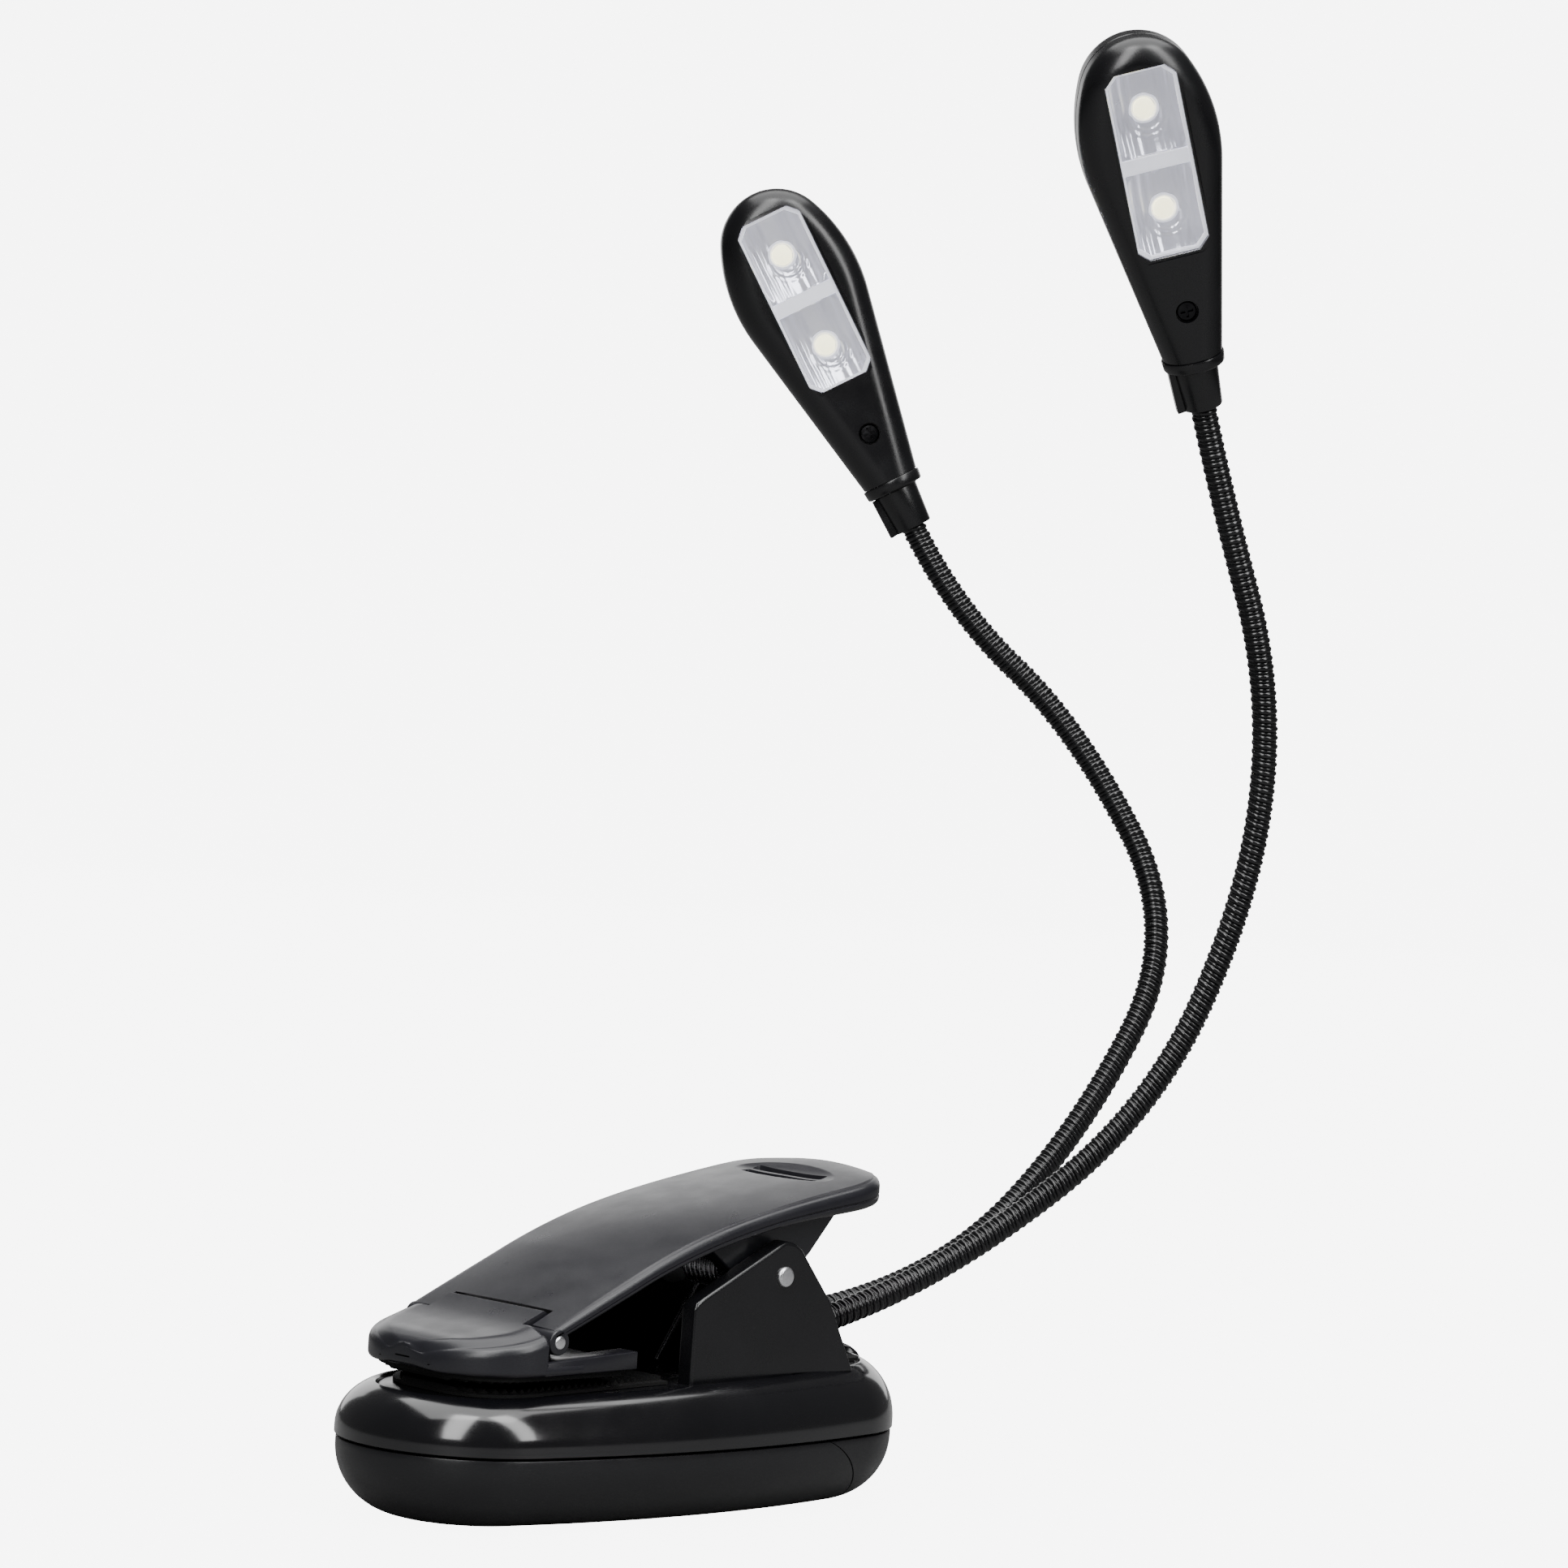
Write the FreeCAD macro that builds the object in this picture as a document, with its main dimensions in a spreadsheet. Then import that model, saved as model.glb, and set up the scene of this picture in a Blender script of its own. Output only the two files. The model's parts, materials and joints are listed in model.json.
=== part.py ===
import FreeCAD, Part
import math
import os
import Sketcher
from FreeCAD import Placement, Rotation, Vector

# Clip-on reading lamp: a battery base with a sprung clip on top and two gooseneck arms,
# each with a two-LED head. +X points to the rear, where the arms leave, -Y is the near
# side and +Z is up. The origin is the centre of the base's underside.

DIMENSIONS = (
    ("base_length", 95.0),
    ("base_width", 44.0),
    ("base_end_radius", 19.0),
    ("parting_height", 10.6),
    ("parting_gap", 0.3),
    ("foot_round", 9.5),
    ("lower_inset", 0.25),
    ("dome_top", 19.85),
    ("dome_round", 8.0),
    ("deck_rise", 0.025),
    ("casing_wall", 2.0),
    ("recess_inset", 5.3),
    ("recess_floor", 17.3),
    ("deck_height", 18.95),
    ("seam_top", 18.5),
    ("seam_foot", 32.0),
    ("cell_length", 44.0),
    ("cell_radius", 5.2),
    ("cell_pitch", 10.9),
    ("cell_height", 7.8),
    ("pivot_along", 16.5),
    ("pivot_height", 33.8),
    ("pivot_radius", 1.5),
    ("ear_outer", 15.0),
    ("ear_inner", 12.0),
    ("lever_half_width", 15.5),
    ("lever_end", 39.7),
    ("lever_corner", 8.5),
    ("lever_crown", 0.9),
    ("jaw_pin_along", -26.7),
    ("jaw_pin_height", 26.2),
    ("jaw_pin_radius", 0.75),
    ("jaw_half_width", 15.8),
    ("jaw_front", -42.6),
    ("jaw_underside", 21.5),
    ("running_gap", 0.05),
    ("ridge_pitch", 1.25),
    ("button_radius", 2.3),
    ("button_proud", 1.1),
    ("tube_radius", 2.0),
    ("tube_bore", 1.1),
    ("wire_radius", 0.8),
    ("joint_gap", 0.3),
    ("head_tip", 57.5),
    ("head_neck", 8.3),
    ("head_neck_half", 4.45),
    ("head_taper", 0.19),
    ("head_half_width", 10.3),
    ("head_shoulder_radius", 26.0),
    ("head_depth", 5.9),
    ("head_neck_depth", 4.3),
    ("head_edge_round", 3.6),
    ("head_wall", 1.3),
    ("lens_length", 28.3),
    ("lens_width", 10.4),
    ("lens_centre", 39.3),
    ("lens_corner", 1.6),
    ("led_spacing", 15.4),
    ("led_radius", 1.65),
    ("screw_along", 16.2),
    ("ferrule_length", 6.5),
)

# Each arm's route: straight runs between these points, joined by tangent arcs.
# The flexible joints sit halfway along the runs named in ARM_JOINT_RUNS.
ARM_ROUTES = {
    "near": (
        (24.0, -4.0, 22.4),
        (60.0, -4.6, 31.6),
        (91.8, -14.7, 55.6),
        (99.2, -25.5, 90.5),
        (94.8, -30.8, 121.2),
        (80.4, -30.8, 149.9),
        (68.4, -32.2, 175.1),
    ),
    "far": (
        (24.0, 4.0, 22.4),
        (68.5, 3.8, 29.6),
        (96.3, 3.7, 50.8),
        (114.4, 1.6, 82.2),
        (104.4, 17.8, 112.8),
        (89.6, 31.8, 130.0),
        (79.2, 41.0, 154.3),
    ),
}
ARM_PIECES = (
    ("root", None, 0),
    ("lower", 0, 2),
    ("middle", 2, 3),
    ("upper", 3, 4),
    ("tip", 4, None),
)
# The way each lens faces before it is squared up to its own head's long axis.
HEAD_FACING = {"near": (-0.66, -0.75, -0.02), "far": (-0.67, -0.74, 0.0)}

doc = FreeCAD.newDocument("ReadingLamp")
sheet = doc.addObject("Spreadsheet::Sheet", "dims")
for row_number, (alias, value) in enumerate(DIMENSIONS, start=1):
    sheet.set(f"A{row_number}", str(value))
    sheet.setAlias(f"A{row_number}", alias)
doc.recompute()

finished = []


def dim(alias):
    """The sheet's value for one alias, as a plain number."""
    return float(sheet.get(alias))


def keep(feature, label):
    """Names a finished sub-part and lists it for export."""
    feature.Label = label
    finished.append(feature)
    return feature


# ---------------------------------------------------------------- sketch helpers


def origin_plane(body, role):
    return next(item for item in body.Origin.OriginFeatures if item.Role == role)


def sketch_on(body, role, offset="0"):
    """An empty sketch on one of the body's own origin planes, moved along its normal."""
    sketch = body.newObject("Sketcher::SketchObject", "Sketch")
    sketch.AttachmentSupport = [(origin_plane(body, role), "")]
    sketch.MapMode = "FlatFace"
    sketch.setExpression("AttachmentOffset.Base.z", offset)
    return sketch


def arc_between(start, end, radius):
    """The shorter arc from start to end; a positive radius turns anticlockwise."""
    chord = end - start
    height = math.sqrt(max(radius**2 - (chord.Length / 2) ** 2, 0.0))
    normal = Vector(-chord.y, chord.x, 0).normalize()
    centre = (start + end) * 0.5 + normal * (height if radius > 0 else -height)
    first, last = (start, end) if radius > 0 else (end, start)
    angle_first = math.atan2(first.y - centre.y, first.x - centre.x)
    angle_last = math.atan2(last.y - centre.y, last.x - centre.x)
    if angle_last < angle_first:
        angle_last += 2 * math.pi
    circle = Part.Circle(centre, Vector(0, 0, 1), abs(radius))
    return Part.ArcOfCircle(circle, angle_first, angle_last)


def outline(sketch, corners):
    """A closed outline. Each corner is (x, y) or (x, y, radius), as expressions; a radius
    makes the side that leaves the corner an arc, clockwise if it starts with a minus."""
    points = [
        Vector(float(sketch.evalExpression(c[0])), float(sketch.evalExpression(c[1])), 0)
        for c in corners
    ]
    sides = []
    for index, corner in enumerate(corners):
        start = points[index]
        end = points[(index + 1) % len(points)]
        if len(corner) == 2:
            side = sketch.addGeometry(Part.LineSegment(start, end))
            sides.append((side, 1, 2))
            continue
        radius = float(sketch.evalExpression(corner[2]))
        side = sketch.addGeometry(arc_between(start, end, radius))
        sides.append((side, 1, 2) if radius > 0 else (side, 2, 1))
        magnitude = corner[2].lstrip("-")
        bind(sketch, Sketcher.Constraint("Radius", side, abs(radius)), magnitude)
    for index, (side, _, last) in enumerate(sides):
        following, first, _ = sides[(index + 1) % len(sides)]
        sketch.addConstraint(Sketcher.Constraint("Coincident", side, last, following, first))
    for corner, point, (side, first, _) in zip(corners, points, sides):
        bind(sketch, Sketcher.Constraint("DistanceX", -1, 1, side, first, point.x), corner[0])
        bind(sketch, Sketcher.Constraint("DistanceY", -1, 1, side, first, point.y), corner[1])
    return sketch


def bind(sketch, constraint, expression):
    number = sketch.addConstraint(constraint)
    sketch.setExpression(f"Constraints[{number}]", expression)


def oval(sketch, inset):
    """The base's plan outline, moved inwards by inset: two end arcs and two side arcs."""
    end = f"(dims.base_end_radius - {inset})"
    reach = "(dims.base_length / 2 - dims.base_end_radius)"
    half = "(dims.base_width / 2)"
    full_end = "dims.base_end_radius"
    full_side = f"(({reach}^2 + {half}^2 - {full_end}^2) / (2 * ({half} - {full_end})))"
    side = f"({full_side} - {inset})"
    drop = f"({full_side} - {half})"
    meet_x = f"({reach} * {side} / ({full_side} - {full_end}))"
    meet_y = f"({drop} * {end} / ({full_side} - {full_end}))"
    return outline(
        sketch,
        (
            (meet_x, f"-{meet_y}", end),
            (meet_x, meet_y, side),
            (f"-{meet_x}", meet_y, end),
            (f"-{meet_x}", f"-{meet_y}", side),
        ),
    )


def rectangle(sketch, low_x, low_y, high_x, high_y):
    corners = ((low_x, low_y), (high_x, low_y), (high_x, high_y), (low_x, high_y))
    return outline(sketch, corners)


# --------------------------------------------------------------- feature helpers


def pad(body, sketch, length, both_ways=False, reverse=False):
    feature = body.newObject("PartDesign::Pad", "Pad")
    return stretch(feature, sketch, length, both_ways, reverse)


def pocket(body, sketch, length, both_ways=False, reverse=False):
    feature = body.newObject("PartDesign::Pocket", "Pocket")
    return stretch(feature, sketch, length, both_ways, reverse)


def stretch(feature, sketch, length, both_ways, reverse):
    feature.Profile = sketch
    feature.setExpression("Length", length)
    feature.SideType = "Symmetric" if both_ways else "One side"
    feature.Reversed = reverse
    doc.recompute()
    return feature


def round_edges(body, base, radius, wanted):
    """Fillets the edges of base whose centre point passes the test wanted(point, edge)."""
    names = [
        f"Edge{number}"
        for number, edge in enumerate(base.Shape.Edges, start=1)
        if wanted(edge.CenterOfMass, edge)
    ]
    fillet = body.newObject("PartDesign::Fillet", "Fillet")
    fillet.Base = (base, names)
    fillet.setExpression("Radius", radius)
    doc.recompute()
    return fillet


def rod(body, kind, start, axis, radius, length):
    """A round boss (Additive) or hole (Subtractive) from start along axis."""
    feature = body.newObject(f"PartDesign::{kind}Cylinder", "Rod")
    feature.setExpression("Radius", radius)
    feature.setExpression("Height", length)
    feature.Placement = Placement(Vector(*start), Rotation(Vector(0, 0, 1), Vector(*axis)))
    doc.recompute()
    return feature


def block(body, kind, corner, size, turn=0.0):
    """A square boss or hole; turn tips it about Y, in degrees, round its low corner."""
    feature = body.newObject(f"PartDesign::{kind}Box", "Block")
    feature.Length, feature.Width, feature.Height = size
    feature.Placement = Placement(Vector(*corner), Rotation(Vector(0, 1, 0), turn))
    doc.recompute()
    return feature


def slope_cut(body, height):
    """Takes off everything above the plane that rises towards the rear at deck_rise."""
    far = 60
    sketch = sketch_on(body, "XZ_Plane")
    outline(
        sketch,
        (
            (f"-{far}", f"{height} - {far} * dims.deck_rise"),
            (f"{far}", f"{height} + {far} * dims.deck_rise"),
            (f"{far}", "45"),
            (f"-{far}", "45"),
        ),
    )
    return pocket(body, sketch, "70", both_ways=True)


def new_body(label):
    return keep(doc.addObject("PartDesign::Body", label), label)


def shape_part(label, shape, placement=None):
    """A sub-part whose shape is worked out from the sheet's values."""
    feature = doc.addObject("Part::Feature", label)
    feature.Shape = shape
    if placement is not None:
        feature.Placement = placement
    return keep(feature, label)


def cylinder(radius, start, end):
    span = Vector(*end) - Vector(*start)
    return Part.makeCylinder(radius, span.Length, Vector(*start), span)


# ------------------------------------------------------------------ battery base

HALF_GAP = "dims.parting_gap / 2"
TOP_OF_LOWER = f"(dims.parting_height - {HALF_GAP})"
BUTTON_ANGLE = math.radians(40.5)
BUTTON_AXIS = Vector(math.sin(BUTTON_ANGLE), 0, math.cos(BUTTON_ANGLE))
BUTTON_FACE = Vector(44.7, 0, 19.2)
BRACKET_SCREWS = ((-30.0, -9.0), (-30.0, 9.0), (33.0, -9.0), (33.0, 9.0))
CASING_SCREWS = ((37.5, -7.0), (37.5, 7.0))


def make_upper_shell():
    """The glossy dome: a filleted oval with a recess on top and an open cavity below."""
    body = new_body("upper_shell")
    start = f"(dims.parting_height + {HALF_GAP})"
    pad(body, oval(sketch_on(body, "XY_Plane", start), "0"), "14")
    top = slope_cut(body, "dims.dome_top")
    round_edges(
        body,
        top,
        "dims.dome_round",
        lambda point, edge: point.z > dim("recess_floor"),
    )
    sketch = oval(sketch_on(body, "XY_Plane", "30"), "dims.recess_inset")
    pocket(body, sketch, "30 - dims.recess_floor")
    for inset, ceiling in (("dims.casing_wall", "13.9"), ("4.6", "15.8")):
        sketch = oval(sketch_on(body, "XY_Plane"), inset)
        pocket(body, sketch, ceiling, reverse=True)
    inward = BUTTON_FACE + BUTTON_AXIS * 4
    rod(body, "Subtractive", inward, -BUTTON_AXIS, "dims.button_radius + 0.3", "10.5")
    for x, y in BRACKET_SCREWS:
        rod(body, "Subtractive", (x, y, 14), (0, 0, 1), "0.95", "5")
    for x, y in CASING_SCREWS:
        rod(body, "Additive", (x, y, 10.9), (0, 0, 1), "2.6", "5.2")
        rod(body, "Subtractive", (x, y, 8), (0, 0, 1), "0.9", "6")


def lower_shell(label):
    """The bowl-shaped lower half before it is split into door and rear cap."""
    body = new_body(label)
    lower = pad(body, oval(sketch_on(body, "XY_Plane"), "dims.lower_inset"), TOP_OF_LOWER)
    round_edges(body, lower, "dims.foot_round", lambda point, edge: point.z < 0.1)
    for inset, floor in (("dims.casing_wall + 0.25", 6.0), ("4.0", 3.2), ("5.8", 1.9)):
        sketch = oval(sketch_on(body, "XY_Plane", TOP_OF_LOWER), inset)
        pocket(body, sketch, f"{TOP_OF_LOWER} - {floor}")
    return body


def seam_line(shift):
    """Two points of the slanted seam between door and rear cap, past both faces."""
    run = "(dims.seam_foot - dims.seam_top)"
    fall = "dims.parting_height"
    top = f"dims.seam_top - {run} * 2 / {fall} + {shift}"
    foot = f"dims.seam_foot + {run} * 2 / {fall} + {shift}"
    return (top, "dims.parting_height + 2"), (foot, "-2")


def make_battery_door():
    body = lower_shell("battery_door")
    top, foot = seam_line("-0.25")
    sketch = outline(
        sketch_on(body, "XZ_Plane"), (top, foot, ("60", "-2"), ("60", "dims.parting_height + 2"))
    )
    pocket(body, sketch, "70", both_ways=True)
    for step in range(5):
        block(body, "Subtractive", (-41.5 + 1.6 * step, -6, -0.6), (0.7, 12, 1.0))


def make_rear_casing():
    body = lower_shell("rear_casing")
    top, foot = seam_line("0.25")
    sketch = outline(
        sketch_on(body, "XZ_Plane"),
        (foot, top, ("-60", "dims.parting_height + 2"), ("-60", "-2")),
    )
    pocket(body, sketch, "70", both_ways=True)
    for x, y in CASING_SCREWS:
        rod(body, "Additive", (x, y, 1), (0, 0, 1), "2.6", "9.4")
        rod(body, "Subtractive", (x, y, -1), (0, 0, 1), "1.0", "14")
        rod(body, "Subtractive", (x, y, -1), (0, 0, 1), "2.0", "4")


def make_battery_tray():
    """An open-bottomed cradle for the three cells, with lips for the contacts."""
    body = new_body("battery_tray")
    sketch = rectangle(sketch_on(body, "XY_Plane", "8.0"), "-26.4", "-16.9", "26.4", "16.9")
    pad(body, sketch, "5.8")
    bay = rectangle(sketch_on(body, "XY_Plane", "6.0"), "-25.6", "-16.4", "25.6", "16.4")
    pocket(body, bay, "7.3", reverse=True)


def make_cells():
    """Three AAA cells side by side; the middle one is turned end for end."""
    for number, offset in enumerate((-1, 0, 1), start=1):
        case = doc.addObject("Part::Cylinder", f"cell_case_{number}")
        case.setExpression("Radius", "dims.cell_radius")
        case.setExpression("Height", "dims.cell_length - 1")
        nub = doc.addObject("Part::Cylinder", f"cell_nub_{number}")
        nub.Radius = 1.9
        nub.Height = 1.0
        nub.setExpression("Placement.Base.z", "dims.cell_length - 1")
        cell = doc.addObject("Part::Fuse", f"battery_{number}")
        cell.Base = case
        cell.Tool = nub
        facing = -1 if offset == 0 else 1
        start = Vector(facing * (0.8 - dim("cell_length") / 2), offset * dim("cell_pitch"), 0)
        start.z = dim("cell_height")
        cell.Placement = Placement(start, Rotation(Vector(0, 0, 1), Vector(facing, 0, 0)))
        keep(cell, f"battery_{number}")


def coil(radius, pitch, height, wire):
    """A solid wire helix along +Z."""
    path = Part.Wire(Part.makeHelix(pitch, height, radius).Edges)
    start = path.Edges[0].valueAt(path.Edges[0].FirstParameter)
    direction = path.Edges[0].tangentAt(path.Edges[0].FirstParameter)
    section = Part.Wire(Part.makeCircle(wire, start, direction))
    return path.makePipeShell([section], True, True)


def bellows(turns, pitch, low, high):
    """A stamped cone contact with rolled ridges, along +Z, as one turned solid."""
    outer = []
    inner = []
    for turn in range(turns):
        outer += [Vector(low, 0, turn * pitch), Vector(high, 0, (turn + 0.5) * pitch)]
        inner += [Vector(low - 0.4, 0, turn * pitch), Vector(high - 0.4, 0, (turn + 0.5) * pitch)]
    profile = outer + inner[::-1]
    face = Part.Face(Part.makePolygon(profile + profile[:1]))
    return face.revolve(Vector(), Vector(0, 0, 1), 360)


def make_contacts():
    springs = []
    plates = []
    for offset in (-1, 0, 1):
        facing = -1 if offset == 0 else 1
        y = offset * dim("cell_pitch")
        spring = bellows(3, 1.15, 2.2, 3.0)
        at = Vector(-facing * 24.95, y, dim("cell_height"))
        spring.Placement = Placement(at, Rotation(Vector(0, 0, 1), Vector(facing, 0, 0)))
        springs.append(spring)
        for side in (-1, 1):
            x = side * 25.45
            plates.append(Part.makeBox(0.25, 9.0, 4.6, Vector(x - 0.125, y - 4.5, 8.4)))
    shape_part("contact_springs", Part.makeCompound(springs))
    shape_part("contact_plates", Part.makeCompound(plates))


def button_frame(depth):
    """A placement whose Z runs out of the button's face, depth below that face."""
    turn = Rotation(Vector(0, 1, 0), math.degrees(BUTTON_ANGLE))
    return Placement(BUTTON_FACE - BUTTON_AXIS * depth, turn)


def make_switch():
    """The power button and, under it, a push switch on the small driver board."""
    body = new_body("power_button")
    rod(body, "Additive", (0, 0, -4.6), (0, 0, 1), "dims.button_radius", "4.6 + dims.button_proud")
    cap = rod(body, "Additive", (0, 0, -6.6), (0, 0, 1), "1.1", "2.5")
    proud = dim("button_proud")
    round_edges(body, cap, "0.6", lambda point, edge: point.z > proud - 0.05)
    body.Placement = button_frame(0)

    case = Part.makeBox(4.6, 4.6, 1.8, Vector(-2.3, -2.3, -9.8))
    plunger = cylinder(1.0, (0, 0, -8.1), (0, 0, -7.7))
    shape_part("push_switch", case.fuse(plunger), button_frame(0))
    board = Part.makeBox(8.0, 7.2, 1.0, Vector(-4.0, -3.6, -10.9))
    shape_part("driver_board", board, button_frame(0))


# ---------------------------------------------------------------- deck and bracket

EAR_PROFILE = (
    ("-0.8", "17.8"),
    ("-0.8", "30"),
    ("0.8", "31.3"),
    ("15.1", "38.3", "-5.2"),
    ("21.4", "36.6"),
    ("25.3", "29.7"),
    ("29.7", "20.1"),
    ("19.5", "20.1"),
    ("19.5", "17.8"),
)
REAR_WALL_FRONT = 25.9
REAR_WALL_TOP = 29.4


def make_deck_bracket():
    """The satin deck plate with two ears for the pivot and a rear wall for the arms."""
    body = new_body("deck_bracket")
    floor = "(dims.recess_floor + 0.05)"
    plate = oval(sketch_on(body, "XY_Plane", floor), "(dims.recess_inset + 0.3)")
    pad(body, plate, "4")
    slope_cut(body, "dims.deck_height")
    thickness = "(dims.ear_outer - dims.ear_inner)"
    for side in (-1, 1):
        middle = f"{side} * (dims.ear_outer + dims.ear_inner) / 2"
        sketch = outline(sketch_on(body, "XZ_Plane", middle), EAR_PROFILE)
        pad(body, sketch, thickness, both_ways=True)
    depth = 29.5 - REAR_WALL_FRONT
    wall = block(
        body, "Additive", (REAR_WALL_FRONT, -12.2, 18.6), (depth, 24.4, REAR_WALL_TOP - 18.6)
    )
    round_edges(
        body,
        wall,
        "0.7",
        lambda point, edge: abs(point.y) > dim("ear_outer") - 0.01
        and point.z > 21
        and point.x < 24,
    )
    for side in (-1, 1):
        start = (dim("pivot_along"), side * 10, dim("pivot_height"))
        hole = "dims.pivot_radius + dims.running_gap"
        rod(body, "Subtractive", start, (0, side, 0), hole, "8")
    for name in ARM_ROUTES:
        start, axis = arm_root(name)
        rod(body, "Subtractive", start, axis, "dims.tube_radius + 0.1", "14")
    for x, y in BRACKET_SCREWS:
        rod(body, "Subtractive", (x, y, 16), (0, 0, 1), "0.85", "2.4")
    inward = BUTTON_FACE + BUTTON_AXIS * 4
    rod(body, "Subtractive", inward, -BUTTON_AXIS, "dims.button_radius + 0.3", "10.5")


def arm_root(name):
    """Where an arm's first run starts and the way it points."""
    first, second = (Vector(*point) for point in ARM_ROUTES[name][:2])
    return first, (second - first).normalize()


def make_arm_clamp():
    """The block between the ears that grips both goosenecks."""
    body = new_body("arm_clamp")
    sketch = rectangle(
        sketch_on(body, "XY_Plane", "dims.deck_height + 0.8"), "17.6", "-8.6", "25.6", "8.6"
    )
    base = pad(body, sketch, "7.3")
    round_edges(body, base, "0.6", lambda point, edge: point.z > 26)
    for name in ARM_ROUTES:
        start, axis = arm_root(name)
        rod(body, "Subtractive", start - axis * 3.1, axis, "dims.tube_radius + 0.02", "12")
        rod(body, "Subtractive", start - axis * 9, axis, "1.2", "9")
    rod(body, "Subtractive", (20.4, 0, 18), (0, 0, 1), "0.85", "12")


def ridged_pad(label, low, high, half_width, base, ridge, corner):
    """A flat rubber pad with triangular ridges across Y, modelled flat with z = 0 below."""
    body = new_body(label)
    sketch = rectangle(
        sketch_on(body, "XY_Plane"), f"{low}", f"-{half_width}", f"{high}", f"{half_width}"
    )
    sheet_pad = pad(body, sketch, f"{base}")
    round_edges(
        body,
        sheet_pad,
        f"{corner}",
        lambda point, edge: abs(abs(point.y) - half_width) < 0.01
        and abs(point.z - base / 2) < 0.01,
    )
    pitch = dim("ridge_pitch")
    first = low + pitch
    tooth = outline(
        sketch_on(body, "XZ_Plane"),
        (
            (f"{first - pitch / 2 + 0.05}", f"{base - 0.2}"),
            (f"{first + pitch / 2 - 0.05}", f"{base - 0.2}"),
            (f"{first + 0.12}", f"{base + ridge}"),
            (f"{first - 0.12}", f"{base + ridge}"),
        ),
    )
    teeth = pad(body, tooth, f"{2 * half_width - 6}", both_ways=True)
    count = int((high - low - 2 * pitch) / pitch) + 1
    pattern = body.newObject("PartDesign::LinearPattern", "Ridges")
    pattern.Originals = [teeth]
    pattern.Direction = (tooth, ["H_Axis"])
    pattern.Length = pitch * (count - 1)
    pattern.Occurrences = count
    body.Tip = pattern
    doc.recompute()
    return body


def make_deck_pads():
    """Rubber on the deck, in front of the bracket and behind it, along the deck's slope."""
    tilt = Rotation(Vector(0, 1, 0), -math.degrees(math.atan(dim("deck_rise"))))
    level = Vector(0, 0, dim("deck_height") + 0.05)
    front = ridged_pad("deck_pad_front", -38.5, -3.0, 12.8, 0.45, 0.65, 7.5)
    rear = ridged_pad("deck_pad_rear", 32.2, 39.7, 9.0, 0.45, 0.65, 2.0)
    front.Placement = Placement(level, tilt)
    rear.Placement = Placement(level, tilt)


# -------------------------------------------------------------------------- clip

LEVER_TOP = (("-27.45", "27.84"), ("-10", "35.85"), ("15", "43.45"), ("dims.lever_end", "47.45"))
LEVER_CROWN_SHARE = (0.3, 0.9, 1.0, 0.8)
LUG_PROFILE = (
    ("5.0", "38.9"),
    ("11.8", "32.4"),
    ("14.0", "29.9", "4.7"),
    ("20.6", "31.8"),
    ("25.3", "36.5"),
    ("31.5", "43.2"),
    ("15.0", "42.0"),
)


def lever_section(body, side):
    """The lever's side profile on the plane y = side * half width, crowned at the middle."""
    sketch = sketch_on(body, "XZ_Plane", f"{-side} * dims.lever_half_width")
    lift = 0 if side else 1
    top = [
        (x, f"{z} + {share * lift} * dims.lever_crown")
        for (x, z), share in zip(LEVER_TOP, LEVER_CROWN_SHARE)
    ]
    under = (
        ("dims.lever_end", "43.8"), ("28", "42.3"), ("15", "40.95"), ("-10", "33.9"), ("-25.2", "26.9")
    )
    corners = [
        under[4],
        (under[3][0], under[3][1], "-86"),
        under[2],
        under[1],
        under[0],
        top[3],
        top[2][:2] + ("86",),
        top[1],
        top[0],
    ]
    return outline(sketch, corners)


def make_lever():
    """The thumb lever: a crowned plate with pivot lugs below and two bosses in front."""
    body = new_body("lever")
    loft = body.newObject("PartDesign::AdditiveLoft", "Plate")
    sections = [lever_section(body, side) for side in (-1, 0, 1)]
    loft.Profile = sections[0]
    loft.Sections = sections[1:]
    doc.recompute()
    half = dim("lever_half_width")
    for side in ("-1", "1"):
        far, near = "(dims.lever_half_width + 2)", "(dims.lever_half_width - dims.lever_corner)"
        corners = [
            ("dims.lever_end - dims.lever_corner", f"{side} * dims.lever_half_width", "turn"),
            ("dims.lever_end", f"{side} * {near}"),
            ("dims.lever_end + 2", f"{side} * {near}"),
            ("dims.lever_end + 2", f"{side} * {far}"),
            ("dims.lever_end - dims.lever_corner", f"{side} * {far}"),
        ]
        turn = "dims.lever_corner" if side == "-1" else "-dims.lever_corner"
        corners[0] = (*corners[0][:2], turn)
        pocket(body, outline(sketch_on(body, "XY_Plane"), corners), "60", reverse=True)
    pin = (dim("jaw_pin_along"), -half, dim("jaw_pin_height"))
    rod(body, "Additive", pin, (0, 1, 0), "1.8", "2 * dims.lever_half_width")
    notch = (pin[0], -10.3, pin[2])
    rod(body, "Subtractive", notch, (0, 1, 0), "4.65", "20.6")
    rod(body, "Subtractive", pin, (0, 1, 0), "dims.jaw_pin_radius + 0.02", "31")
    for side in (-1, 1):
        sketch = outline(sketch_on(body, "XZ_Plane", f"{side} * 9.6"), LUG_PROFILE)
        pad(body, sketch, "3", both_ways=True)
    start = (dim("pivot_along"), -13, dim("pivot_height"))
    rod(body, "Subtractive", start, (0, 1, 0), "dims.pivot_radius + dims.running_gap", "26")
    dish = body.newObject("PartDesign::SubtractiveEllipsoid", "ThumbDish")
    dish.Radius1, dish.Radius2, dish.Radius3 = 1.0, 3.6, 9.8
    dish.Placement = Placement(Vector(30, 0, 47.0), Rotation(Vector(0, 1, 0), -9.8))
    doc.recompute()
    for x, z in ((28.7, 45.1), (30.5, 45.4)):
        block(body, "Subtractive", (x, -7.2, z), (0.9, 14.4, 1.6), -9.8)


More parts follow.
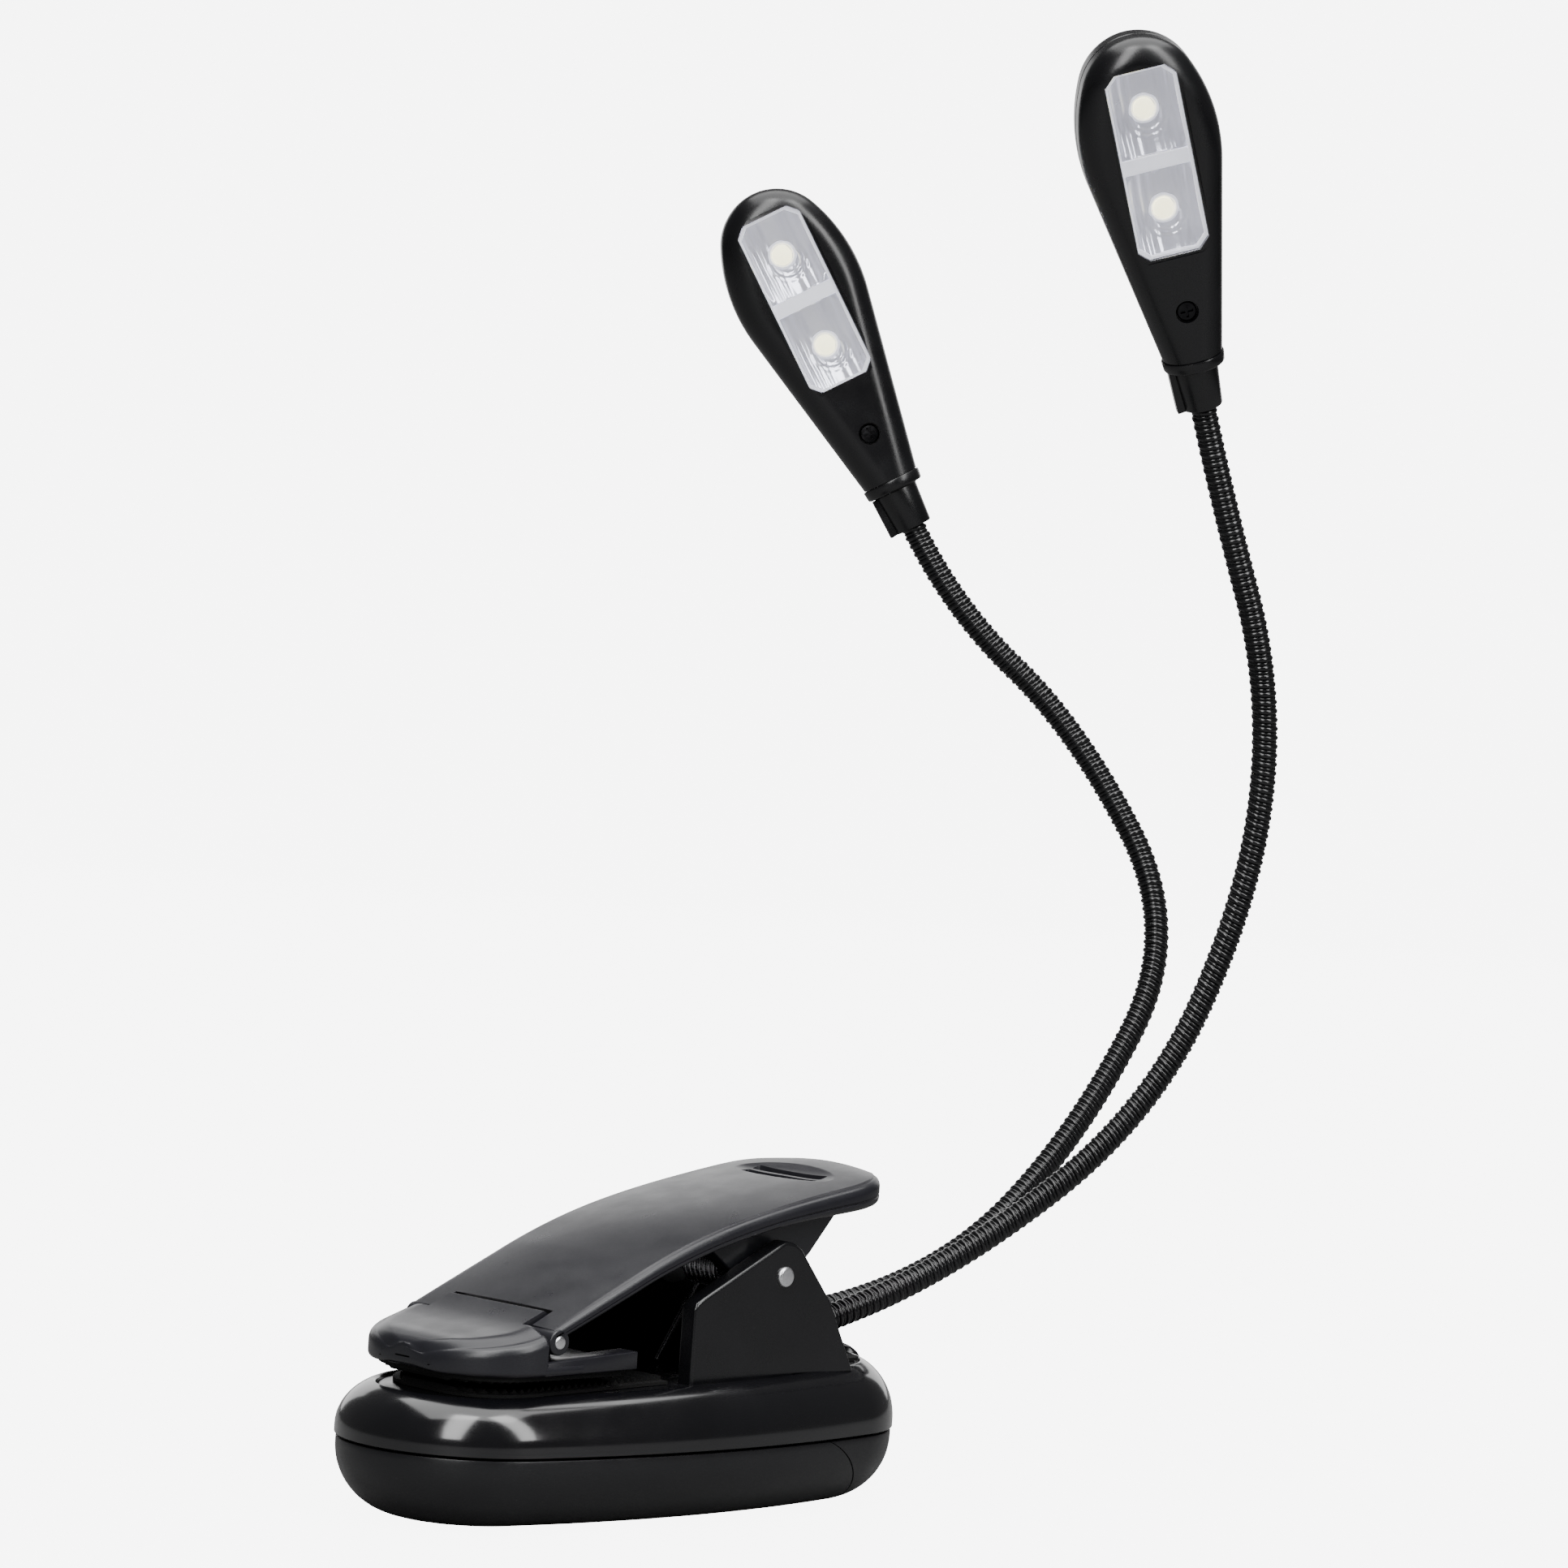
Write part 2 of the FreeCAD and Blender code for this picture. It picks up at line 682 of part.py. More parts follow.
def make_pins():
    half = dim("ear_outer") + 0.4
    x, z = dim("pivot_along"), dim("pivot_height")
    pin = cylinder(dim("pivot_radius"), (x, -half, z), (x, half, z))
    shape_part("pivot_pin", pin.makeFillet(0.3, pin.Edges[0::2]))
    half = dim("lever_half_width") + 0.15
    x, z = dim("jaw_pin_along"), dim("jaw_pin_height")
    shape_part("jaw_pin", cylinder(dim("jaw_pin_radius"), (x, -half, z), (x, half, z)))


def make_torsion_spring():
    """Seven turns round the pivot pin, with one leg on the deck and one under the lever."""
    mean, wire, turns = 2.75, 0.45, 7
    length = turns * 1.0
    coils = coil(mean, 1.0, length, wire)
    turn = Rotation(Vector(1, 0, 0), 90)
    coils.Placement = Placement(
        Vector(dim("pivot_along"), length / 2, dim("pivot_height")), turn
    )
    x, z = dim("pivot_along") + mean, dim("pivot_height")
    lower_leg = cylinder(wire, (x, length / 2, z + 0.6), (x - 9.5, length / 2, 19.6))
    upper_leg = cylinder(wire, (x, -length / 2, z - 0.6), (x + 4.2, -length / 2, 40.4))
    shape_part("torsion_spring", coils.fuse([lower_leg, upper_leg]))


JAW_PROFILE = (
    ("dims.jaw_front", "22.3"),
    ("dims.jaw_front + 0.8", "dims.jaw_underside"),
    ("-12", "dims.jaw_underside"),
    ("-12", "23.9"),
    ("-29.3", "23.9"),
    ("-29.3", "27.0"),
    ("dims.jaw_front", "25.1"),
)
TONGUE_PROFILE = (
    ("-31", "23.5"),
    ("-22.9", "23.5"),
    ("-22.9", "24.2", "4.3"),
    ("-24.11", "29.63"),
    ("-31", "26.8"),
)


def make_jaw():
    """The self-levelling front jaw: a rounded nose, a hinge tongue and two side rails."""
    body = new_body("jaw")
    nose = pad(body, outline(sketch_on(body, "XZ_Plane"), JAW_PROFILE), "31.6", both_ways=True)
    front = dim("jaw_front")
    half = dim("jaw_half_width")
    nose = round_edges(
        body,
        nose,
        "12",
        lambda point, edge: abs(point.x - front) < 0.2 and abs(point.y) > half - 0.1,
    )
    nose = round_edges(
        body,
        nose,
        "1.3",
        lambda point, edge: point.z > 24.2 and point.x < -30 and abs(point.y) > 0.5,
    )
    tongue = outline(sketch_on(body, "XZ_Plane"), TONGUE_PROFILE)
    pad(body, tongue, "19.9", both_ways=True)
    block(body, "Subtractive", (-22.5, -11.6, 22.7), (12, 23.2, 6))
    start = (dim("jaw_pin_along"), -half, dim("jaw_pin_height"))
    rod(body, "Subtractive", start, (0, 1, 0), "dims.jaw_pin_radius + dims.running_gap", "32")


def make_jaw_pad():
    pad_body = ridged_pad("jaw_pad", -40.5, -13.0, 14.0, 0.75, 0.5, 6.0)
    level = Vector(0, 0, dim("jaw_underside") - 0.02)
    # Modelled ridges up, then turned over about X so that the ridges face the deck.
    pad_body.Placement = Placement(level, Rotation(Vector(1, 0, 0), 180))


# -------------------------------------------------------------------- goosenecks


def route_path(points):
    """Straight runs joined by tangent arcs through the given points, as a list of edges."""
    edges = []
    start = points[0]
    for before, corner, after in zip(points, points[1:], points[2:]):
        into = (corner - before).normalize()
        out = (after - corner).normalize()
        turn = into.getAngle(out)
        shorter = min((corner - before).Length, (after - corner).Length)
        cut = 0.45 * shorter
        radius = cut / math.tan(turn / 2)
        first = corner - into * cut
        last = corner + out * cut
        towards = (out - into).normalize()
        middle = corner + towards * (radius / math.cos(turn / 2) - radius)
        edges.append(Part.makeLine(start, first))
        edges.append(Part.Arc(first, middle, last).toShape())
        start = last
    edges.append(Part.makeLine(start, points[-1]))
    return edges


def swept(edges, radius):
    """A round bar along the edges, ended square."""
    first = edges[0]
    direction = first.tangentAt(first.FirstParameter)
    section = Part.Wire(Part.makeCircle(radius, edges[0].Vertexes[0].Point, direction))
    return Part.Wire(edges).makePipeShell([section], True, True)


def halfway(points, run):
    return (points[run] + points[run + 1]) * 0.5


def arm_piece_points(name, start_run, end_run, inset):
    """A rigid length of gooseneck: its ends sit inset away from the joints."""
    points = [Vector(*point) for point in ARM_ROUTES[name]]
    if start_run is None:
        start = points[0] - (points[1] - points[0]).normalize() * 3.0
        first_run = 0
    else:
        run = (points[start_run + 1] - points[start_run]).normalize()
        start = halfway(points, start_run) + run * inset
        first_run = start_run
    last = len(points) - 2 if end_run is None else end_run
    inner = points[first_run + 1 : last + 1]
    run = (points[last + 1] - points[last]).normalize()
    if end_run is None:
        end = halfway(points, last) + run * 4.6
    else:
        end = halfway(points, last) - run * inset
    return [start, *inner, end]


def make_arm(name):
    """Each arm is a chain of rigid tube lengths with round ends, and wires inside."""
    radius = dim("tube_radius")
    inset = radius + dim("joint_gap") / 2
    for piece, start_run, end_run in ARM_PIECES:
        points = arm_piece_points(name, start_run, end_run, inset)
        edges = route_path(points)
        tube = swept(edges, radius)
        if start_run is not None:
            tube = tube.fuse(Part.makeSphere(radius, points[0]))
        if end_run is not None:
            tube = tube.fuse(Part.makeSphere(radius, points[-1]))
        ahead = (points[1] - points[0]).normalize() * (radius + 1)
        beyond = (points[-1] - points[-2]).normalize() * (radius + 1)
        bore_edges = [Part.makeLine(points[0] - ahead, points[0])]
        bore_edges += edges
        bore_edges += [Part.makeLine(points[-1], points[-1] + beyond)]
        tube = tube.cut(swept(bore_edges, dim("tube_bore")))
        shape_part(f"{name}_gooseneck_{piece}", tube.removeSplitter())
        shape_part(f"{name}_wires_{piece}", swept(edges, dim("wire_radius")))


# ------------------------------------------------------------------------- heads


def head_placement(name):
    """A head's own frame: Z from its ferrule to its tip, -Y out of the lens."""
    points = [Vector(*point) for point in ARM_ROUTES[name]]
    along = (points[-1] - points[-2]).normalize()
    facing = Vector(*HEAD_FACING[name])
    facing = (facing - along * facing.dot(along)).normalize()
    across = along.cross(facing)
    turn = Rotation(across, facing * -1, along, "ZXY")
    return Placement(halfway(points, len(points) - 2), turn)


def teardrop(inset, start):
    """The head's outline in its own XZ plane, moved inwards by inset, from z = start up."""
    slope = math.atan(dim("head_taper"))
    width = dim("head_half_width")
    shoulder = dim("head_shoulder_radius")
    touch_x = width - shoulder * (1 - math.cos(slope))
    touch_z = dim("head_neck") + (touch_x - dim("head_neck_half")) / dim("head_taper")
    centre = Vector(width - shoulder, 0, touch_z + shoulder * math.sin(slope))
    rise = dim("head_tip") - centre.z
    tip = (shoulder**2 - centre.x**2 - rise**2) / (2 * (shoulder - rise))
    tip_centre = Vector(0, 0, dim("head_tip") - tip)
    outward = (tip_centre - centre).normalize()
    low = centre + Vector(math.cos(slope), 0, -math.sin(slope)) * (shoulder - inset)
    join = tip_centre + outward * (tip - inset)
    middle_way = (low - centre).normalize() + outward
    bulge = centre + middle_way.normalize() * (shoulder - inset)
    top = tip_centre + Vector(0, 0, tip - inset)
    foot = Vector(low.x - (low.z - start) * math.tan(slope), 0, start)

    def mirror(point):
        return Vector(-point.x, point.y, point.z)

    edges = [
        Part.makeLine(foot, low),
        Part.Arc(low, bulge, join).toShape(),
        Part.Arc(join, top, mirror(join)).toShape(),
        Part.Arc(mirror(join), mirror(bulge), mirror(low)).toShape(),
        Part.makeLine(mirror(low), mirror(foot)),
        Part.makeLine(mirror(foot), foot),
    ]
    return Part.Face(Part.Wire(edges))


def face_tilt():
    """The angle of the head's front and back faces to its long axis."""
    rise = dim("head_depth") - dim("head_neck_depth")
    return math.atan(rise / (dim("head_tip") - dim("head_neck")))


def head_slab(inset, start, side, depth_change):
    """Half of a head: the teardrop pulled out to side (-1 front, 1 back) and cut to the
    slanted face, which depth_change moves inwards."""
    slab = teardrop(inset, start).extrude(Vector(0, side * 9, 0))
    tilt = math.degrees(face_tilt())
    cutter = Part.makeBox(40, 20, 90, Vector(-20, 0 if side > 0 else -20, -5))
    depth = dim("head_neck_depth") - depth_change
    pivot = Vector(0, side * depth, dim("head_neck"))
    cutter.Placement = Placement(pivot, Rotation(Vector(1, 0, 0), -side * tilt)).multiply(
        Placement(Vector(0, 0, -30), Rotation())
    )
    return slab.cut(cutter)


def rounded_slab(side):
    slab = head_slab(0, dim("head_neck"), side, 0)
    rim = [
        edge
        for edge in slab.Edges
        if abs(edge.CenterOfMass.y) > dim("head_neck_depth") - 0.3
        and edge.CenterOfMass.z > dim("head_neck") + 0.5
    ]
    return slab.makeFillet(dim("head_edge_round"), rim)


def optics_frame():
    """The frame of the lens and what lies behind it: y = 0 on the front face."""
    pivot = Vector(0, -dim("head_neck_depth"), dim("head_neck"))
    return Placement(pivot, Rotation(Vector(1, 0, 0), math.degrees(face_tilt())))


def lens_plate(grow, near, far):
    """A plate with cut corners round the lens centre, from y = near to y = far."""
    half_w = dim("lens_width") / 2 + grow
    half_l = dim("lens_length") / 2 + grow
    cut = dim("lens_corner")
    middle = dim("lens_centre") - dim("head_neck")
    corners = []
    for sx, sz in ((1, 1), (-1, 1), (-1, -1), (1, -1)):
        side = Vector(sx * half_w, near, middle + sz * (half_l - cut))
        end = Vector(sx * (half_w - cut), near, middle + sz * half_l)
        corners += [side, end] if sx * sz > 0 else [end, side]
    face = Part.Face(Part.makePolygon(corners + corners[:1]))
    return face.extrude(Vector(0, far - near, 0))


def make_head(name):
    frame = head_placement(name)
    optics = frame.multiply(optics_frame())
    wall = dim("head_wall")
    neck = dim("head_neck")
    screw_z = dim("screw_along")
    middle = dim("lens_centre") - neck

    front = rounded_slab(-1)
    front = front.cut(head_slab(wall, neck + wall, -1, wall))
    front = front.cut(cylinder(1.6, (0, 0, neck - 1), (0, 0, neck + 3)))
    window = lens_plate(0.12, -2, 3)
    window.Placement = optics_frame()
    front = front.cut(window)
    post = cylinder(2.4, (0, -4.2, screw_z), (0, -0.2, screw_z))
    front = front.fuse(post).cut(cylinder(1.65, (0, -9, screw_z), (0, -3.4, screw_z)))
    front = front.cut(cylinder(0.95, (0, -5, screw_z), (0, 1, screw_z)))
    shape_part(f"{name}_front_shell", front, frame)

    back = rounded_slab(1)
    back = back.cut(head_slab(wall, neck + wall, 1, wall))
    back = back.cut(cylinder(1.6, (0, 0, neck - 1), (0, 0, neck + 3)))
    post = cylinder(2.2, (0, 0.2, screw_z), (0, 4.0, screw_z))
    back = back.fuse(post).cut(cylinder(0.85, (0, -1, screw_z), (0, 3.2, screw_z)))
    back.translate(Vector(0, 0.12, 0))
    shape_part(f"{name}_back_shell", back, frame)

    shape_part(f"{name}_lens", lens_plate(0, 0.35, 1.6), optics)

    reflector = lens_plate(-0.1, 1.7, 4.1)
    for sign in (-1, 1):
        z = middle + sign * dim("led_spacing") / 2
        cup = Part.makeCone(4.7, 2.0, 2.6, Vector(0, 1.6, z), Vector(0, 1, 0))
        reflector = reflector.cut(cup)
    shape_part(f"{name}_reflector", reflector, optics)

    board = lens_plate(-0.3, 4.2, 5.0)
    shape_part(f"{name}_led_board", board, optics)
    leds = []
    for sign in (-1, 1):
        z = middle + sign * dim("led_spacing") / 2
        led = cylinder(dim("led_radius"), (0, 4.15, z), (0, 3.0, z))
        leds.append(led.makeFillet(0.4, [led.Edges[0]]))
    shape_part(f"{name}_leds", Part.makeCompound(leds), optics)

    screw = cylinder(1.45, (0, -4.3, screw_z), (0, -3.45, screw_z))
    screw = screw.fuse(cylinder(0.8, (0, -3.6, screw_z), (0, 2.6, screw_z)))
    for size in ((0.4, 1.8), (1.8, 0.4)):
        slot = Part.makeBox(size[0], 0.6, size[1])
        slot.translate(Vector(-size[0] / 2, -4.5, screw_z - size[1] / 2))
        screw = screw.cut(slot)
    shape_part(f"{name}_head_screw", screw, frame)

    length = dim("ferrule_length")
    top = neck - 0.12
    profile = [
        Vector(2.05, 0, 0),
        Vector(2.95, 0, 0),
        Vector(3.45, 0, length),
        Vector(4.3, 0, length + 0.1),
        Vector(4.6, 0, length + 0.5),
        Vector(4.6, 0, top),
        Vector(1.3, 0, top),
        Vector(1.3, 0, 4.8),
        Vector(2.05, 0, 4.8),
    ]
    face = Part.Face(Part.makePolygon(profile + profile[:1]))
    ferrule = face.revolve(Vector(), Vector(0, 0, 1), 360)
    shape_part(f"{name}_ferrule", ferrule, frame)


# --------------------------------------------------------------------- fasteners


def make_fasteners():
    """The bracket's screws with the one that holds the arm clamp, and the casing's screws."""
    clamp_top = dim("deck_height") + 8.1
    shank = cylinder(0.8, (20.4, 0, 20), (20.4, 0, clamp_top + 0.1))
    screws = [shank.fuse(cylinder(1.6, (20.4, 0, clamp_top + 0.05), (20.4, 0, clamp_top + 1.1)))]
    for x, y in BRACKET_SCREWS:
        shank = cylinder(0.8, (x, y, 15.5), (x, y, 18.2))
        screws.append(shank.fuse(cylinder(1.6, (x, y, 14.7), (x, y, 15.75))))
    shape_part("bracket_screws", Part.makeCompound(screws))
    screws = []
    for x, y in CASING_SCREWS:
        shank = cylinder(0.85, (x, y, 2.7), (x, y, 13.2))
        screws.append(shank.fuse(cylinder(1.7, (x, y, 1.7), (x, y, 2.95))))
    shape_part("casing_screws", Part.makeCompound(screws))


def check_and_export():
    """Stops on any failed object, then writes one STEP file for each sub-part."""
    doc.recompute()
    for item in doc.Objects:
        if "Invalid" in item.State or "Error" in item.State:
            raise RuntimeError(f"{item.Label} did not build: {item.State}")
    os.makedirs("parts", exist_ok=True)
    for item in finished:
        if item.Shape.isNull() or not item.Shape.isValid():
            raise RuntimeError(f"{item.Label} has no valid shape")
    for item in finished:
        item.Shape.exportStep(os.path.join("parts", f"{item.Label}.step"))


make_upper_shell()
make_battery_door()
make_rear_casing()
make_battery_tray()
make_cells()
make_contacts()
make_switch()
make_deck_bracket()
make_arm_clamp()
make_deck_pads()
make_lever()
make_pins()
make_torsion_spring()
make_jaw()
make_jaw_pad()
for arm_name in ARM_ROUTES:
    make_arm(arm_name)
    make_head(arm_name)
make_fasteners()
check_and_export()
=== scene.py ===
import json
import math

import bpy
import bmesh
import numpy as np
from mathutils import Matrix, Vector

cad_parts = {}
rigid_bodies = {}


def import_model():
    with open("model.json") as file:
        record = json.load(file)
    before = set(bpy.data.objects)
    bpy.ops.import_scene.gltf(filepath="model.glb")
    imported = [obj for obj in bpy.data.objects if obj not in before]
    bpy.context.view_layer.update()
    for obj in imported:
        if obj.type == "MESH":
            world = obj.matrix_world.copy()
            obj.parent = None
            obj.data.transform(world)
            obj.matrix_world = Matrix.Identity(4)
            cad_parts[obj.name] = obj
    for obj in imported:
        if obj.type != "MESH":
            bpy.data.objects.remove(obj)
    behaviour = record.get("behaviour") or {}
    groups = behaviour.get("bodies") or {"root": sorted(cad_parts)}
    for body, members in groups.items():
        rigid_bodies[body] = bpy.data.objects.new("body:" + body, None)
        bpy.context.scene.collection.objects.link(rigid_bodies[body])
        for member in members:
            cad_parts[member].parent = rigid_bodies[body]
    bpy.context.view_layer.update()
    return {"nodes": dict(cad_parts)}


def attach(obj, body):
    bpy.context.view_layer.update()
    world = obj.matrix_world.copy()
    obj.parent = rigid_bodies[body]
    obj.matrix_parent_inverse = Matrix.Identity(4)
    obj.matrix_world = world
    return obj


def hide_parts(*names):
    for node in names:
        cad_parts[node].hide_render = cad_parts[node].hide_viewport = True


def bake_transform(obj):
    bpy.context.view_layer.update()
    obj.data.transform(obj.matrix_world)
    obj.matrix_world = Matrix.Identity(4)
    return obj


# Looks for the clip-on reading lamp. Lengths below are in millimetres in the row frame
# (+X to the rear, -Y the near side, +Z up) and become metres when a mesh is made.

for leftover in list(bpy.data.objects):
    bpy.data.objects.remove(leftover)

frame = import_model()
MM = 0.001

# -------------------------------------------------------------- material helpers


def new_material(name):
    """A material with its node tree and its shader."""
    material = bpy.data.materials.new(name)
    material.use_nodes = True
    shader = material.node_tree.nodes["Principled BSDF"]
    return material, material.node_tree, shader


def noise(tree, scale, detail=4.0, stretch=(1, 1, 1)):
    """Noise on the object's own coordinates, in features per metre."""
    place = tree.nodes.new("ShaderNodeTexCoord")
    mapping = tree.nodes.new("ShaderNodeMapping")
    mapping.inputs["Scale"].default_value = stretch
    texture = tree.nodes.new("ShaderNodeTexNoise")
    texture.inputs["Scale"].default_value = scale
    texture.inputs["Detail"].default_value = detail
    tree.links.new(place.outputs["Object"], mapping.inputs["Vector"])
    tree.links.new(mapping.outputs["Vector"], texture.inputs["Vector"])
    return texture.outputs["Fac"]


def spread(tree, value, low, high, start=0.3, end=0.7):
    """Maps a 0-1 value between start and end onto low to high."""
    node = tree.nodes.new("ShaderNodeMapRange")
    node.inputs["From Min"].default_value = start
    node.inputs["From Max"].default_value = end
    node.inputs["To Min"].default_value = low
    node.inputs["To Max"].default_value = high
    tree.links.new(value, node.inputs["Value"])
    return node.outputs["Result"]


def blend_colour(tree, value, first, second):
    """A colour between the first (at 0) and the second (at 1)."""
    node = tree.nodes.new("ShaderNodeMix")
    node.data_type = "RGBA"
    node.inputs[6].default_value = (*first, 1)
    node.inputs[7].default_value = (*second, 1)
    tree.links.new(value, node.inputs[0])
    return node.outputs[2]


def bump(tree, shader, height, strength, distance):
    """Tilts the shading by a height texture; the distance is in metres."""
    node = tree.nodes.new("ShaderNodeBump")
    node.inputs["Strength"].default_value = strength
    node.inputs["Distance"].default_value = distance
    tree.links.new(height, node.inputs["Height"])
    tree.links.new(node.outputs["Normal"], shader.inputs["Normal"])


def surface(name, colours, rough, grain=2500.0, relief=0.15, mottle=60.0, **extra):
    """A moulded or machined surface: mottled colour, uneven gloss and a fine grain."""
    material, tree, shader = new_material(name)
    patches = noise(tree, mottle, 5.0)
    colour = blend_colour(tree, spread(tree, patches, 0, 1), *colours)
    tree.links.new(colour, shader.inputs["Base Color"])
    tree.links.new(spread(tree, noise(tree, mottle * 3, 6.0), *rough), shader.inputs["Roughness"])
    if relief:
        bump(tree, shader, noise(tree, grain, 3.0), relief, 0.00004)
    for socket, value in extra.items():
        shader.inputs[socket.replace("_", " ")].default_value = value
    return material


def brushed(name, colours, rough, stretch):
    """Metal with fine drawn lines along one axis."""
    material, tree, shader = new_material(name)
    lines = noise(tree, 900.0, 6.0, stretch)
    tree.links.new(blend_colour(tree, lines, *colours), shader.inputs["Base Color"])
    tree.links.new(spread(tree, lines, *rough), shader.inputs["Roughness"])
    shader.inputs["Metallic"].default_value = 1.0
    bump(tree, shader, lines, 0.12, 0.00003)
    return material


def clear_plastic(name):
    """Clear moulded plastic with faint unevenness."""
    material, tree, shader = new_material(name)
    shader.inputs["Transmission Weight"].default_value = 1.0
    shader.inputs["IOR"].default_value = 1.38
    shader.inputs["Base Color"].default_value = (0.97, 0.98, 1.0, 1)
    tree.links.new(spread(tree, noise(tree, 300.0), 0.015, 0.05), shader.inputs["Roughness"])
    bump(tree, shader, noise(tree, 260.0, 2.0), 0.08, 0.0001)
    return material


def phosphor(name):
    """The pale yellow face of a white emitter, glowing, its tone varying in patches."""
    material, tree, shader = new_material(name)
    patches = noise(tree, 1400.0, 3.0)
    colour = blend_colour(tree, patches, (1.0, 0.93, 0.55), (1.0, 0.96, 0.68))
    tree.links.new(colour, shader.inputs["Base Color"])
    tree.links.new(colour, shader.inputs["Emission Color"])
    shader.inputs["Emission Strength"].default_value = 3.0
    tree.links.new(spread(tree, patches, 0.3, 0.5), shader.inputs["Roughness"])
    return material


# ------------------------------------------------------------------ the materials

GLOSS = surface(
    "gloss_shell", ((0.0022, 0.0022, 0.003), (0.0036, 0.0036, 0.0046)), (0.13, 0.21),
    grain=700.0, relief=0.05, Coat_Weight=0.5, Coat_Roughness=0.11,
)
SATIN = surface(
    "satin_shell", ((0.0034, 0.0034, 0.0044), (0.0055, 0.0055, 0.0068)), (0.3, 0.4),
    grain=4200.0, relief=0.2,
)
LEVER = surface(
    "lever_satin", ((0.0085, 0.0085, 0.0115), (0.0125, 0.0125, 0.016)), (0.27, 0.36),
    grain=4200.0, relief=0.3,
)
DECK = surface(
    "deck_satin", ((0.0034, 0.0034, 0.0042), (0.006, 0.006, 0.007)), (0.2, 0.3),
    grain=4200.0, relief=0.2,
)
HEAD = surface(
    "head_shell", ((0.0022, 0.0022, 0.0028), (0.0038, 0.0038, 0.0046)), (0.22, 0.32),
    grain=4200.0, relief=0.16,
)
INNER = surface("inner_plastic", ((0.006, 0.006, 0.007), (0.011, 0.011, 0.012)), (0.4, 0.6))
RUBBER = surface("pad_rubber", ((0.004, 0.004, 0.004), (0.008, 0.008, 0.008)), (0.7, 0.85),
                 grain=3000.0, relief=0.4, Specular_IOR_Level=0.25)
NECK = surface(
    "gooseneck_black", ((0.003, 0.003, 0.0035), (0.006, 0.006, 0.0068)), (0.15, 0.24),
    grain=3500.0, relief=0.12,
)
BUTTON = surface("button_plastic", ((0.004, 0.004, 0.005), (0.008, 0.008, 0.009)), (0.15, 0.25))
PIN = brushed("pin_steel", ((0.72, 0.72, 0.74), (0.88, 0.88, 0.9)), (0.22, 0.38), (1, 0.1, 1))
SPRING = brushed(
    "spring_steel", ((0.4, 0.4, 0.41), (0.62, 0.62, 0.64)), (0.2, 0.32), (1, 0.2, 1)
)
SCREW = brushed(
    "screw_black", ((0.012, 0.012, 0.013), (0.035, 0.035, 0.037)), (0.2, 0.4), (1, 1, 1)
)
CONTACT = brushed(
    "contact_metal", ((0.6, 0.57, 0.5), (0.75, 0.73, 0.68)), (0.2, 0.35), (1, 1, 0.2)
)
CELL = brushed("cell_case", ((0.25, 0.26, 0.28), (0.38, 0.39, 0.42)), (0.25, 0.4), (0.1, 1, 1))
BOARD = surface("board", ((0.01, 0.09, 0.03), (0.02, 0.14, 0.05)), (0.3, 0.5), mottle=400.0)
# White parts of the heads (boards, divider, rim, bezels): white, with a faint emission that is
# painted light standing in for the emitters' light falling on them.
WHITE_PAINTED_GLOW = surface(
    "led_board_white", ((0.78, 0.78, 0.82), (0.88, 0.88, 0.92)), (0.3, 0.5), mottle=300.0,
    Emission_Color=(0.86, 0.86, 0.94, 1), Emission_Strength=0.9,
)
# Silvered reflector: part-metallic silver, with a faint emission that is painted light standing in
# for the emitters' light on the bowls.
MIRROR_PAINTED_GLOW = surface(
    "reflector_silver", ((0.6, 0.6, 0.66), (0.8, 0.8, 0.87)), (0.16, 0.28),
    grain=500.0, relief=0.05, mottle=70.0, Metallic=0.6,
    Emission_Color=(0.8, 0.8, 0.93, 1), Emission_Strength=0.3,
)
LENS = clear_plastic("lens_clear")
GLOW = phosphor("led_phosphor")

# ------------------------------------------------------------------ mesh helpers


def make_object(name, points, faces, material, sharp=32.0):
    """A smooth-shaded object from millimetre points, with edges kept above the angle."""
    mesh = bpy.data.meshes.new(name)
    mesh.from_pydata([tuple(float(c) * MM for c in p) for p in points], [], faces)
    mesh.validate()
    tidy = bmesh.new()
    tidy.from_mesh(mesh)
    bmesh.ops.remove_doubles(tidy, verts=tidy.verts, dist=1e-7)
    bmesh.ops.recalc_face_normals(tidy, faces=tidy.faces)
    tidy.to_mesh(mesh)
    tidy.free()
    mesh.shade_smooth()
    mesh.set_sharp_from_angle(angle=math.radians(sharp))
    mesh.materials.append(material)
    piece = bpy.data.objects.new(name, mesh)
    bpy.context.scene.collection.objects.link(piece)
    return piece


def skin(rings, start_cap=True, end_cap=True, looped=False):
    """Quads between closed rings of equal length; the ends can be filled."""
    count = len(rings[0])
    points = [p for ring in rings for p in ring]
    faces = []
    pairs = list(zip(range(len(rings)), range(1, len(rings))))
    if looped:
        pairs.append((len(rings) - 1, 0))
    for low, high in pairs:
        for i in range(count):
            j = (i + 1) % count
            faces.append((low * count + i, low * count + j, high * count + j, high * count + i))
    if start_cap:
        faces.append(tuple(range(count - 1, -1, -1)))
    if end_cap:
        first = (len(rings) - 1) * count
        faces.append(tuple(range(first, first + count)))
    return points, faces


def lathe(name, profile, material, place=Matrix.Identity(4), count=96, sharp=32.0):
    """Turns (radius, height) pairs about Z; the profile's ends are capped."""
    rings = []
    for radius, height in profile:
        ring = []
        for i in range(count):
            a = 2 * math.pi * i / count
            ring.append(place @ Vector((radius * math.cos(a), radius * math.sin(a), height)))
        rings.append(ring)
    return make_object(name, *skin(rings), material, sharp)


def prism(name, outline_xz, low_y, high_y, material, bevel=0.0, segments=3):
    """An XZ outline pulled along Y, with its edges optionally rounded."""
    rings = [[(x, y, z) for x, z in outline_xz] for y in (low_y, high_y)]
    piece = make_object(name, *skin(rings), material)
    if bevel:
        round_off(piece, bevel, segments)
    return piece


def beside(side, inner, outer):
    """The lower and the upper Y of a slab that lies on one side of the middle."""
    return sorted((inner * side, outer * side))


